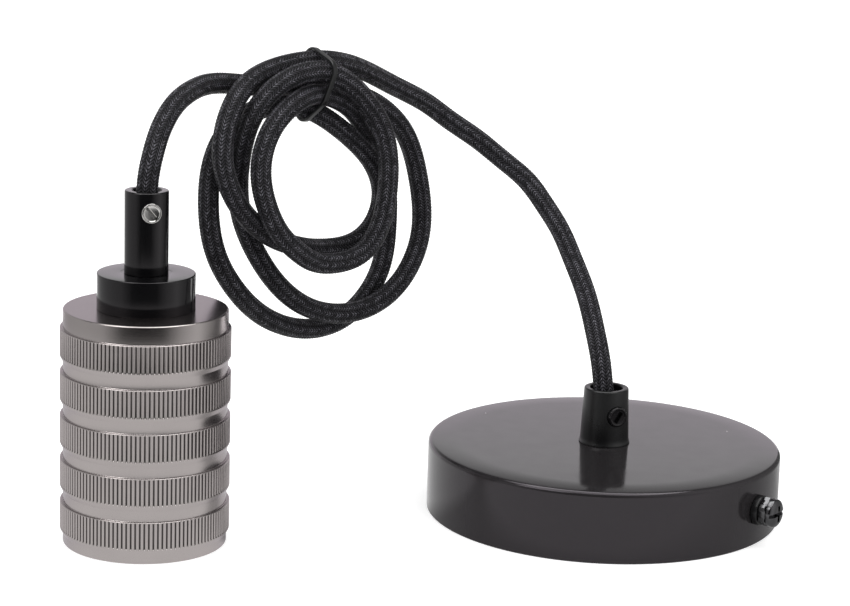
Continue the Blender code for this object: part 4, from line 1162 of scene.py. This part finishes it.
    def nipple(self) -> None:
        """Hollow nipple, whose thread is drawn as rings."""
        low, high = self.nipple_span
        turns = int((high - low) / self.nipple_pitch)
        crest = np.stack((np.full(turns, self.thread_radius),
                          low + (np.arange(turns) + 0.5) * self.nipple_pitch), axis=1)
        root = crest + (-self.nipple_depth, 0.5 * self.nipple_pitch)
        thread = np.stack((crest, root), axis=1).reshape(-1, 2)[:-1]
        outline = np.vstack(((self.nipple_bore, low), (self.nipple_end, low), thread,
                             (self.nipple_end, high), (self.nipple_bore, high)))
        made = turned_piece("nipple_threaded", outline, 48, self.axis)
        adopt(made, self.finishes.zinc, "zinc", "holder_nipple")

    def socket(self) -> None:
        """Porcelain body, with the two holes for the strap's screws."""
        (low, high), wide, bore = self.socket_span, self.socket_radius, self.socket_bore
        outline = eased((
            (bore, low, 0.8 * MM), (wide, low, 1.2 * MM), (wide, high, 1.2 * MM),
            (0.0, high, 0.0), (0.0, self.socket_floor, 0.0), (bore, self.socket_floor, 0.3 * MM)), 5)
        made = turned_piece("socket_body_glazed", outline, 96, self.axis)
        drills = [rod(f"drill_{name}", self.drill_radius, *self.drill_span, 24,
                      origin=(reach, 0.0, 0.0))
                  for name, reach in (("right", self.drill_reach), ("left", -self.drill_reach))]
        carve(made, drills, np.eye(3), self.axis)
        adopt(made, self.finishes.porcelain, "porcelain", "socket_body")

    def screw_shell(self) -> None:
        """Screw shell, whose wall follows a cosine wave of the lamp thread's pitch."""
        top, under, pitch = self.lamp_top, self.lamp_under, self.lamp_pitch
        height = np.linspace(under - 0.6 * MM, under - self.lamp_turns * pitch + 0.2 * MM, 80)
        phase = (under - pitch / 2 - height) / pitch * math.tau
        wave = self.lamp_radius - self.lamp_wave * np.cos(phase)
        inside = np.stack((wave, height), axis=1)
        outside = (inside + (self.lamp_wall, 0.0))[::-1]
        outline = np.vstack(((self.lamp_hole, top), (self.lamp_hole, under), (12.9 * MM, under),
                             inside, outside, (13.5 * MM, top)))
        made = turned_piece("screw_shell_rolled", outline, 96, self.axis)
        adopt(made, self.finishes.brass, "brass", "screw_shell")

    def carried_over(self) -> None:
        """Dress the frame's own pieces inside the holder."""
        dress(self.finishes.zinc, "socket_strap", "strap_screw_right", "strap_screw_left",
              "live_terminal_screw", "neutral_terminal_screw")
        dress(self.finishes.brass, "centre_contact", "centre_rivet", "shell_rivet_front",
              "shell_rivet_back", "live_terminal", "neutral_terminal")
        dress(self.finishes.live, "holder_live_core")
        dress(self.finishes.neutral, "holder_neutral_core")
        dress(self.finishes.earth, "holder_earth_core")


class Side(Enum):
    """The canopy's two side screws, with their turn from the screws' direction."""

    RIGHT = ("right", 0.0)
    LEFT = ("left", math.pi)


@dataclass
class Canopy(Fitting):
    """Cup, cord grip, side screws, bracket and terminal block."""

    radius: float = 50.4 * MM
    height: float = 20.2 * MM
    wall: float = 1.0 * MM
    rim: float = 0.25 * MM
    flat: float = 30.0 * MM
    edge: float = 1.3 * MM
    crown: float = 110.0 * MM
    lean: float = math.radians(4.0)
    mouth: float = 36.3 * MM
    mouth_depth: float = 10.0 * MM
    mouth_bore: float = 4.65 * MM
    grip_radius: float = 6.35 * MM
    skirt_radius: float = 7.3 * MM
    stub_foot: float = 12.6 * MM
    washer_foot: float = 17.9 * MM
    nut_foot: float = 14.6 * MM
    screw: ClampScrew = ClampScrew(
        height=29.1 * MM, direction=math.radians(-63.1), turn=math.radians(-35.0), radius=2.9 * MM,
        inner=3.6 * MM, outer=7.3 * MM, hole_radius=3.0 * MM, hole_outer=10.0 * MM,
        slot=(3.4 * MM, 1.1 * MM, 2.4 * MM), flare=0.5 * MM)
    side_direction: float = math.radians(-35.0)
    side_hole: float = 2.3 * MM
    side_hole_span: tuple[float, float] = (47.5 * MM, 52.0 * MM)
    side_washer_radius: float = 4.2 * MM
    side_washer_span: tuple[float, float] = (50.5 * MM, 52.3 * MM)
    side_nut_width: float = 7.2 * MM
    side_nut_span: tuple[float, float] = (52.4 * MM, 54.6 * MM)
    side_shank_radius: float = 2.0 * MM
    side_shank_end: float = 43.0 * MM
    side_head_radius: float = 4.0 * MM
    side_head_span: tuple[float, float] = (54.7 * MM, 57.2 * MM)
    side_slot: tuple[float, float, float] = (1.1 * MM, 9.0 * MM, 2.4 * MM)
    side_cross: tuple[float, float, float] = (4.6 * MM, 1.1 * MM, 3.0 * MM)

    def build(self) -> None:
        """Build and dress every piece of the canopy."""
        self.cup()
        self.grip()
        self.grip_screw()
        self.washer("grip_washer_turned", "canopy_grip_washer", self.washer_foot)
        self.nut("grip_nut_hex", "canopy_grip_nut", self.nut_foot)
        for side in Side:
            self.side_fixings(side)
        self.carried_over()

    def cup(self) -> None:
        """Drawn cup: both faces have a small arc at the edge and a wide one before it.

        The wide arc starts level, and the small one takes it over where it has come to the lean.
        """
        corner = self.radius - self.edge
        fall = self.crown * (1.0 - math.cos(self.lean))
        shoulder = self.height - fall - self.edge * math.cos(self.lean)
        level = corner + (self.edge - self.crown) * math.sin(self.lean)
        tight = np.linspace(0.0, math.pi / 2 - self.lean, 14)
        wide = np.linspace(math.pi / 2 - self.lean, math.pi / 2, 9)[1:]

        def face(depth: float) -> Array:
            """Both arcs of the face that lies a depth under the outer one.

            Args:
                depth: The depth, nothing for the outer face.

            Returns:
                Rows of radius and height.
            """
            small = np.stack((np.cos(tight), np.sin(tight)), axis=1) * (self.edge - depth)
            large = np.stack((np.cos(wide), np.sin(wide)), axis=1) * (self.crown - depth)
            return np.vstack((small + (corner, shoulder), large + (level, self.height - self.crown)))

        bore, under = self.radius - self.wall, self.height - self.wall
        outline = np.vstack((
            (bore, self.rim), (bore + self.rim, 0.0), (self.radius - self.rim, 0.0),
            (self.radius, self.rim), face(0.0), (self.flat, self.height), (self.eye, self.height),
            (self.eye, under), (self.flat, under), face(self.wall)[::-1]))
        made = turned_piece("canopy_cup_drawn", outline, 200, self.axis)
        holes = [rod("hole_" + side.value[0], self.side_hole, *self.side_hole_span, 32,
                     outward(side.value[1])) for side in Side]
        turn = np.array(Matrix.Rotation(self.side_direction, 3, "Z"))
        carve(made, holes, turn, self.axis + (0, 0, self.height / 2))
        adopt(made, self.finishes.paint, "canopy_paint", "canopy_cup")

    def grip(self) -> None:
        """Cord grip: a slightly tapered tube with a thick mouth, a skirt and a threaded stub."""
        foot, mouth, skirt = self.height + 0.02 * MM, self.mouth, self.skirt_radius
        throat = mouth - self.mouth_depth
        outline = eased((
            (self.cord_bore, self.stub_foot, 0.0), (self.thread_radius, self.stub_foot, 0.3 * MM),
            (self.thread_radius, foot, 0.0), (skirt, foot, 0.1 * MM),
            (skirt - 0.02 * MM, foot + 0.3 * MM, 0.12 * MM),
            (skirt - 0.35 * MM, foot + 1.1 * MM, 1.0 * MM), (self.grip_radius, mouth, 0.5 * MM),
            (self.mouth_bore, mouth, 0.5 * MM), (self.mouth_bore, throat, 0.3 * MM),
            (self.cord_bore, throat - (self.mouth_bore - self.cord_bore), 0.2 * MM)), 5)
        made = turned_piece("canopy_grip_moulded", outline, 96, self.axis)
        self.screw.drill(made, self.axis)
        adopt(made, self.finishes.plastic, "black_plastic", "canopy_cord_grip")

    def grip_screw(self) -> None:
        """Black clamping screw with a slot."""
        radius, inner, outer = self.screw.radius, self.screw.inner, self.screw.outer
        outline = eased((
            (0.0, inner, 0.0), (radius, inner, 0.3 * MM), (radius, outer, 0.45 * MM),
            (radius - 0.6 * MM, outer, 0.1 * MM), (radius - 0.75 * MM, outer - 0.12 * MM, 0.1 * MM),
            (0.0, outer - 0.15 * MM, 0.0)), 4)
        made = self.screw.make("canopy_screw_moulded", outline, self.axis)
        adopt(made, self.finishes.polish, "black_plastic", "canopy_grip_screw")

    def side_fixings(self, side: Side) -> None:
        """Screw with a combined recess, nut and washer on one side of the cup.

        Args:
            side: The side.
        """
        name, half = side.value
        turn = outward(self.side_direction + half)
        origin = self.axis + (0, 0, self.height / 2)
        made = washer_piece(f"side_washer_{name}_turned", self.side_hole, self.side_washer_radius,
                            self.side_washer_span, (0.15 * MM, 0.3 * MM), origin, turn)
        adopt(made, self.finishes.plastic, "black_plastic", f"side_washer_{name}")
        made = nut_piece(f"side_nut_{name}_hex", self.side_nut_width, self.side_hole,
                         self.side_nut_span, origin, turn)
        adopt(made, self.finishes.plated, "black_metal", f"side_nut_{name}")
        shank, end, head = self.side_shank_radius, self.side_shank_end, self.side_head_radius
        base, top = self.side_head_span
        outline = eased((
            (0.0, end, 0.0), (shank, end, 0.3 * MM), (shank, base, 0.0), (head, base, 0.3 * MM),
            (head, top - 0.9 * MM, 0.6 * MM), (head - 1.3 * MM, top - 0.1 * MM, 0.8 * MM),
            (0.0, top, 0.0)), 5)
        made = turned_piece(f"side_screw_{name}_turned", outline, 64, origin, turn)
        slot = box_mesh("slot", self.side_slot, (0, 0, top + 0.1 * MM))
        cross = box_mesh("cross", self.side_cross, (0, 0, top))
        carve(made, [slot, cross], turn, origin)
        adopt(made, self.finishes.plated, "black_metal", f"side_screw_{name}")

    def carried_over(self) -> None:
        """Dress the frame's own pieces inside the canopy."""
        dress(self.finishes.zinc, "ceiling_bracket", "block_screw_1", "block_screw_2",
              "block_screw_3")
        dress(self.finishes.nylon, "terminal_block")
        dress(self.finishes.brass, "earth_screw")
        dress(self.finishes.live, "canopy_live_core")
        dress(self.finishes.neutral, "canopy_neutral_core")
        dress(self.finishes.earth, "canopy_earth_core")


@dataclass
class BraidedCord:
    """The cord from grip to grip, and the tie round its coil.

    The route is three lists of points in millimetres: from the holder's mouth to the coil, round
    the coil by clock position, and from the coil to the canopy's mouth.
    """

    holder_mouth: Array
    canopy_mouth: Array
    finishes: Finishes
    diameter: float = 5.9 * MM
    columns: int = 16
    stitch: float = 0.9 * MM
    rows_per_stitch: int = 2
    relief: float = 0.13 * MM
    coil_middle: tuple[float, float, float] = (43.0 * MM, 42.0 * MM, -7.1 * MM)
    coil_direction: float = math.radians(40.0)
    coil_positions: int = 16
    coil_first: int = 5
    tie_point: tuple[float, float] = (-1.5 * MM, 31.0 * MM)
    tie_lean: float = math.radians(82.0)
    tie_reach: float = 16.0 * MM
    tie_width: float = 1.5 * MM
    tie_thickness: float = 0.8 * MM
    tie_gap: float = 0.1 * MM
    tie_rings: int = 240
    tie_sides: int = 32
    holder_lead: Table = (
        (0.0, 0.0, -25.0), (0.0, 0.0, -18.0), (0.0, 0.0, -11.0), (0.0, 0.0, -4.0),
        (0.3, 0.4, 3.0), (0.8, 1.2, 6.5), (1.5, 2.7, 10.0), (2.2, 4.8, 13.0),
        (3.6, 8.5, 17.0), (6.0, 14.0, 21.0), (9.2, 20.3, 23.5), (12.9, 26.0, 24.7),
    )
    coil_strands: Table = (
        (32.5, -7.5), (30.0, -5.5), (30.0, -5.5), (33.0, -4.5), (37.0, -3.5), (39.5, -2.5),
        (43.0, -1.0), (42.5, 1.0), (39.0, 1.5), (34.0, 0.5), (29.0, 0.0), (25.5, -1.0),
        (24.0, -2.5), (25.5, -1.5), (29.0, 0.5), (33.7, 2.2), (36.1, 4.1), (34.5, 5.5),
        (29.0, 7.0), (24.5, 8.0), (20.0, 9.5), (17.5, 10.5), (17.5, 10.5), (18.0, 11.0),
        (18.5, 11.0), (18.5, 10.5), (19.0, 10.0), (19.5, 10.5), (21.5, 10.5), (24.0, 9.5),
        (27.5, 8.5), (30.0, 8.0), (30.0, 6.5), (27.9, 2.5), (25.9, 1.1), (24.5, -0.5),
        (25.5, -2.0), (27.5, -2.5), (31.0, -3.0), (38.5, -4.5), (42.0, -5.0), (40.5, -4.0),
        (38.0, -3.0), (36.5, -1.5), (36.0, -1.5), (35.0, -2.5), (34.0, -4.5), (31.5, -5.0),
        (27.0, -3.0), (22.7, -2.0), (19.3, 0.3), (18.6, 1.1), (19.5, 2.5), (20.5, 4.0),
        (20.5, 4.5), (19.5, 4.0), (17.5, 2.5), (16.0, 2.0), (16.0, 3.5), (18.0, 3.5),
        (22.5, 4.0), (30.0, 4.5), (38.0, 4.0), (40.4, 0.8), (38.0, -3.0), (37.0, -1.5),
    )
    canopy_lead: Table = (
        (-71.0, 19.5, 85.6), (-62.5, 28.5, 80.1), (-53.5, 34.5, 74.6), (-47.0, 37.5, 69.6),
        (-39.0, 39.5, 64.1), (-30.5, 39.5, 57.6), (-23.5, 37.5, 52.1), (-18.5, 34.5, 46.1),
        (-13.5, 29.5, 39.1), (-10.0, 24.5, 32.1), (-7.0, 18.4, 25.7), (-4.9, 12.3, 19.8),
        (-3.4, 7.2, 14.0), (-1.7, 2.0, 6.0), (-0.8, 0.1, -1.0), (-0.2, -0.1, -6.0),
        (0.0, 0.0, -12.0),
    )

    def coil_frame(self) -> tuple[Array, Array, Array, Array]:
        """Coil's middle, and its level, upright and forward directions.

        Returns:
            The four vectors.
        """
        cos, sin = math.cos(self.coil_direction), math.sin(self.coil_direction)
        middle = self.holder_mouth + np.array(self.coil_middle)
        return middle, np.array((cos, sin, 0.0)), np.array((0.0, 0.0, 1.0)), np.array((sin, -cos, 0.0))

    def route(self) -> Array:
        """Route points of the whole cord.

        A coil point stands at its distance from the coil's middle in the direction of its clock
        position, and at its layer in front of the coil's plane.

        Returns:
            Rows of X, Y and Z.
        """
        middle, across, upright, forward = self.coil_frame()
        strands = np.array(self.coil_strands) * MM
        clock = (self.coil_first - np.arange(len(strands))) * math.tau / self.coil_positions
        spoke = np.cos(clock)[:, None] * across + np.sin(clock)[:, None] * upright
        coil = middle + strands[:, :1] * spoke + strands[:, 1:] * forward
        first = self.holder_mouth + np.array(self.holder_lead) * MM
        last = self.canopy_mouth + np.array(self.canopy_lead) * MM
        return np.vstack((first, coil, last))

    def build(self) -> None:
        forward = self.coil_frame()[3]
        rough = smooth_route(self.route(), 1500)
        length = float(run_along(rough)[-1])
        stitches = round(length / self.stitch)
        path = smooth_route(self.route(), stitches * self.rows_per_stitch + 1)
        cord = self.cord(path, forward, stitches)
        tie = self.tie(path)
        LOG.info("cord length %.3f m", length)

    def cord(self, path: Array, forward: Array, stitches: int) -> bpy.types.Object:
        """Braided cord.

        Between two columns the surface lies lower, and along a column's middle it rises and falls
        as a half wave with each stitch.

        Args:
            path: Evenly spaced points of the cord's middle line.
            forward: The coil's forward direction.
            stitches: Stitches along the whole cord.

        Returns:
            The cord.
        """
        sides = 2 * self.columns
        along = np.arange(len(path)) / self.rows_per_stitch
        swell = np.abs(np.sin(math.pi * along))[:, None]
        middle = (np.arange(sides) % 2 == 1)[None, :]
        radius = self.diameter / 2 - self.relief * (1 - middle * (0.35 + 0.65 * swell))
        made = tube_piece("cord_braided", path, forward, radius, float(stitches), float(self.columns))
        return adopt(made, self.finishes.braid, "braid", "cord")

    def tie(self, path: Array) -> bpy.types.Object:
        """Flat band drawn round the strands that cross a leaning plane at the coil's top.

        In each direction of that plane the band lies just outside the strand that reaches
        furthest, so it is the tight loop that encloses the strands' circles. Its section is a
        rounded box: the eighth-power ellipse of its width and thickness.

        Args:
            path: Points of the cord's middle line.

        Returns:
            The tie.
        """
        middle, across, upright, forward = self.coil_frame()
        middle = middle + across * self.tie_point[0] + upright * self.tie_point[1]
        spoke = across * math.cos(self.tie_lean) + upright * math.sin(self.tie_lean)
        normal = np.cross(forward, spoke)
        local = path - middle
        ahead = local @ normal
        near = np.abs(local[:-1] @ spoke) < self.tie_reach
        crossing = np.nonzero((ahead[:-1] * ahead[1:] <= 0.0) & near)[0]
        strands = np.stack((local[crossing] @ spoke, local[crossing] @ forward), axis=1)
        angle = np.linspace(0.0, math.tau, 2 * self.tie_rings, endpoint=False)
        out = np.stack((np.cos(angle), np.sin(angle)), axis=1)
        furthest = strands[np.argmax(strands @ out.T, axis=0)]
        loop = furthest + out * (self.diameter / 2 + self.tie_thickness / 2 + self.tie_gap)
        loop = even_points(np.vstack((loop, loop[:1])), self.tie_rings, endpoint=False)
        points = middle + loop[:, :1] * spoke + loop[:, 1:] * forward
        turn = np.arange(self.tie_sides) * math.tau / self.tie_sides
        section = ((2 * np.abs(np.cos(turn)) / self.tie_width) ** 8
                   + (2 * np.abs(np.sin(turn)) / self.tie_thickness) ** 8) ** -0.125
        radius = np.broadcast_to(section, (len(points), self.tie_sides))
        grid = tube_grid(points, normal, radius, closed=True)
        faces, _ = quads(len(points), self.tie_sides, True, True)
        made = to_mesh("coil_tie_band", grid, faces.tolist())
        return adopt(made, self.finishes.tie, "tie", "coil_tie")


@dataclass
class Studio:
    """Floor, background, lights and camera.

    The tables of the card and the ceiling hold rows of an angle in degrees and the brightness
    there. The card's angles are directions from the holder, counted from the front to the right,
    and the ceiling's are heights over the floor. Each soft box has its name, place, size and power.
    """

    holder_axis: Array
    lens: float = 111.43
    sensor: float = 36.0
    camera_from_holder: tuple[float, float, float] = (74.79 * MM, -687.17 * MM, 227.7 * MM)
    pitch: float = math.radians(13.037)
    roll: float = math.radians(1.776)
    ambient: float = 0.62
    backdrop_gloss: Colour = (0.99, 0.92, 0.99)
    floor_reach: float = 6.0
    floor_colour: Colour = (0.86, 0.86, 0.86)
    floor_glow: float = 0.45
    card_reach: float = 300.0 * MM
    card_height: float = 330.0 * MM
    card_near: Table = ((-180, 0.9), (-120, 0.95), (0, 0.95), (80, 0.95), (92, 0.5), (108, 0.5),
                        (120, 0.95), (180, 0.95))
    card_far: Table = ((-180, 0.95), (-140, 0.7), (-120, 0.55), (-80, 0.55), (-52, 0.5),
                       (-25, 0.03), (0, 0.0), (30, 0.03), (55, 0.5), (80, 0.8), (100, 0.4),
                       (120, 0.16), (132, 0.2), (145, 0.9), (180, 0.95))
    card_change: tuple[float, float] = (0.72, 0.98)
    card_wall: tuple[float, float] = (-145.0, 132.0)
    card_columns: int = 145
    card_rows: int = 24
    card_hole: float = 0.02
    ceiling_reach: float = 2.4
    ceiling_columns: int = 73
    ceiling_rows: int = 38
    ceiling_span: tuple[float, float] = (16.0, 89.5)
    ceiling_light: Table = ((16, 1.0), (18, 0.85), (21, 0.55), (26, 0.3), (34, 0.1), (56, 0.1),
                            (62, 3.0), (70, 3.0), (75, 0.8), (90, 0.8))
    boxes: tuple[tuple, ...] = (("key", (-0.9, -0.8, 1.0), 0.8, 9.0),
                                ("top", (0.1, 0.2, 1.4), 1.2, 9.0),
                                ("fill", (1.1, -0.3, 0.7), 0.6, 4.0))

    def build(self) -> None:
        """Make the whole studio."""
        self.camera()
        self.world()
        self.floor()
        self.card()
        self.ceiling()
        for box in self.boxes:
            self.soft_box(*box)

    def camera(self) -> None:
        """Camera at the photograph's angle.

        Its forward direction is level turned down by the pitch. Its right and up directions are
        turned about that by the roll.
        """
        data = bpy.data.cameras.new("camera")
        data.lens = self.lens
        data.sensor_width = self.sensor
        data.sensor_fit = "HORIZONTAL"
        made = in_scene("camera", data)
        forward = np.array((0.0, math.cos(self.pitch), -math.sin(self.pitch)))
        level = np.array((1.0, 0.0, 0.0))
        rise = np.cross(level, forward)
        right = math.cos(self.roll) * level + math.sin(self.roll) * rise
        up = -math.sin(self.roll) * level + math.cos(self.roll) * rise
        turn = Matrix(np.stack((right, up, -forward), axis=1).tolist()).to_4x4()
        made.matrix_world = Matrix.Translation(self.holder_axis + self.camera_from_holder) @ turn
        bpy.context.scene.camera = made

    def world(self) -> None:
        """White background for the camera, gloss and glass, and a soft even light for the rest."""
        world = bpy.data.worlds.new("studio")
        world.use_nodes = True
        bpy.context.scene.world = world
        graph = Graph(world.node_tree)
        light = graph.tree.nodes["Background"].inputs
        rays = graph.node("ShaderNodeLightPath", {}).outputs
        seen = graph.math("MAXIMUM", rays["Is Camera Ray"], rays["Is Transmission Ray"])
        bright = graph.math("MAXIMUM", seen, rays["Is Glossy Ray"])
        graph.feed(light["Strength"], graph.spread(bright, 0.0, 1.0, self.ambient, 1.0))
        graph.feed(light["Color"], graph.mix(rays["Is Glossy Ray"], WHITE, self.backdrop_gloss))

    def floor(self) -> None:
        """Pale floor that shows white to the camera and to gloss, and keeps the shadow."""
        bm = bmesh.new()
        bmesh.ops.create_grid(bm, x_segments=1, y_segments=1, size=self.floor_reach)
        mesh = bpy.data.meshes.new("floor")
        bm.to_mesh(mesh)
        bm.free()
        graph = StageMaterial("pale_floor")
        rays = graph.node("ShaderNodeLightPath", {}).outputs
        seen = graph.math("MAXIMUM", rays["Is Camera Ray"], rays["Is Glossy Ray"])
        strength = graph.math("MULTIPLY", seen, self.floor_glow)
        diffuse = graph.node("ShaderNodeBsdfDiffuse", {"Color": self.floor_colour})
        glow = graph.node("ShaderNodeEmission", {"Strength": strength})
        both = graph.node("ShaderNodeAddShader", {0: diffuse.outputs[0], 1: glow.outputs[0]})
        mesh.materials.append(graph.finish(both))
        in_scene("floor", mesh)

    def card(self) -> None:
        """Grey card that only gloss sees, lying on the floor and standing up in front.

        Its point in direction a from the holder is (r sin a, -r cos a, z), with r and z from the
        card's side outline. Its brightness goes smoothly from the near table to the far one
        between the two shares of the reach in card_change, and it stands up only between the two
        directions in card_wall.
        """
        direction = np.linspace(-180.0, 180.0, self.card_columns)
        reach, top = self.card_reach, self.card_height
        lying = np.linspace(self.card_hole * reach, reach, self.card_rows)
        lies = np.stack((lying, np.full(self.card_rows, 0.05 * MM)), axis=1)
        outline = np.vstack((lies, ((reach, 0.1 * MM), (reach, 0.5 * top), (reach, top))))
        near = np.interp(direction, *zip(*self.card_near))[:, None]
        far = np.interp(direction, *zip(*self.card_far))[:, None]
        start, end = self.card_change
        share = np.clip((outline[None, :, 0] / reach - start) / (end - start), 0.0, 1.0)
        share = share * share * (3.0 - 2.0 * share)
        open_back = (direction < self.card_wall[0]) | (direction > self.card_wall[1])
        stands = np.arange(len(outline)) >= len(lies)
        self.sheet("grey_card", direction, outline, near * (1.0 - share) + far * share,
                   open_back[:, None] & stands)

    def ceiling(self) -> None:
        """Ceiling that only gloss sees: a dome with a white foot, a dark wall and a bright ring."""
        direction = np.linspace(-180.0, 180.0, self.ceiling_columns)
        rise = np.linspace(*self.ceiling_span, self.ceiling_rows)
        angle = np.radians(rise)
        outline = self.ceiling_reach * np.stack((np.cos(angle), np.sin(angle)), axis=1)
        size = (len(direction), len(rise))
        light = np.broadcast_to(np.interp(rise, *zip(*self.ceiling_light)), size)
        self.sheet("dark_ceiling", direction, outline, light, np.zeros(size, bool))

    def sheet(self, name: str, direction: Array, outline: Array, light: Array,
              hidden: Array) -> None:
        """Turned sheet that glows by its own brightness, seen by gloss alone.

        Args:
            name: Name of the object.
            direction: Directions in degrees from the holder's axis, counted from the front to
                the right.
            outline: Rows of distance from the axis and height.
            light: Brightness, directions by outline points.
            hidden: Where the sheet is left out.
        """
        grid = turned(outline, np.radians(direction - 90.0)) + self.holder_axis
        faces, _ = quads(*light.shape, False, False)
        faces = faces[~hidden.ravel()[faces].any(axis=1)]
        mesh = bpy.data.meshes.new(name)
        mesh.from_pydata(grid.reshape(-1, 3).tolist(), [], faces.tolist())
        mesh.attributes.new("light", "FLOAT", "POINT").data.foreach_set("value", light.ravel())
        graph = StageMaterial(name)
        glow = graph.node("ShaderNodeEmission", {"Strength": graph.attribute("light")})
        mesh.materials.append(graph.finish(glow))
        made = in_scene(name, mesh)
        made.visible_camera = False
        made.visible_diffuse = False
        made.visible_transmission = False
        made.visible_shadow = False

    def soft_box(self, name: str, place: Sequence[float], size: float, power: float) -> None:
        """Square soft box aimed at the set.

        Args:
            name: Name of the light.
            place: Its place.
            size: Length of its sides.
            power: Its power in watts.
        """
        data = bpy.data.lights.new(name, "AREA")
        data.size = size
        data.energy = power
        made = in_scene(name, data)
        made.rotation_euler = Vector(place).to_track_quat("Z", "Y").to_euler()
        made.location = place


def axis_of(node: str) -> Array:
    """Point on the floor under the middle of a node."""
    low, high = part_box(node)
    return np.array(((low.x + high.x) / 2, (low.y + high.y) / 2, 0.0))


def corners(box: Sequence[Sequence[float]]) -> list[list[float]]:
    """A box as plain lists."""
    return [[float(value) for value in corner] for corner in box]


def main() -> None:
    """Build the set and its studio."""
    logging.basicConfig(level=logging.INFO, format="%(name)s: %(message)s")
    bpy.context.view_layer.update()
    bpy.context.scene.view_settings.view_transform = "Standard"
    holder_axis = axis_of("holder_shell")
    canopy_axis = axis_of("canopy_cup")
    finishes = Finishes(tuple(holder_axis.tolist()))
    Studio(holder_axis).build()
    holder = LampHolder(holder_axis, finishes)
    canopy = Canopy(canopy_axis, finishes)
    cord = BraidedCord(holder_axis + (0, 0, holder.mouth), canopy_axis + (0, 0, canopy.mouth),
                       finishes)
    cord.build()
    holder.build()
    canopy.build()


if __name__ == "__main__":
    main()
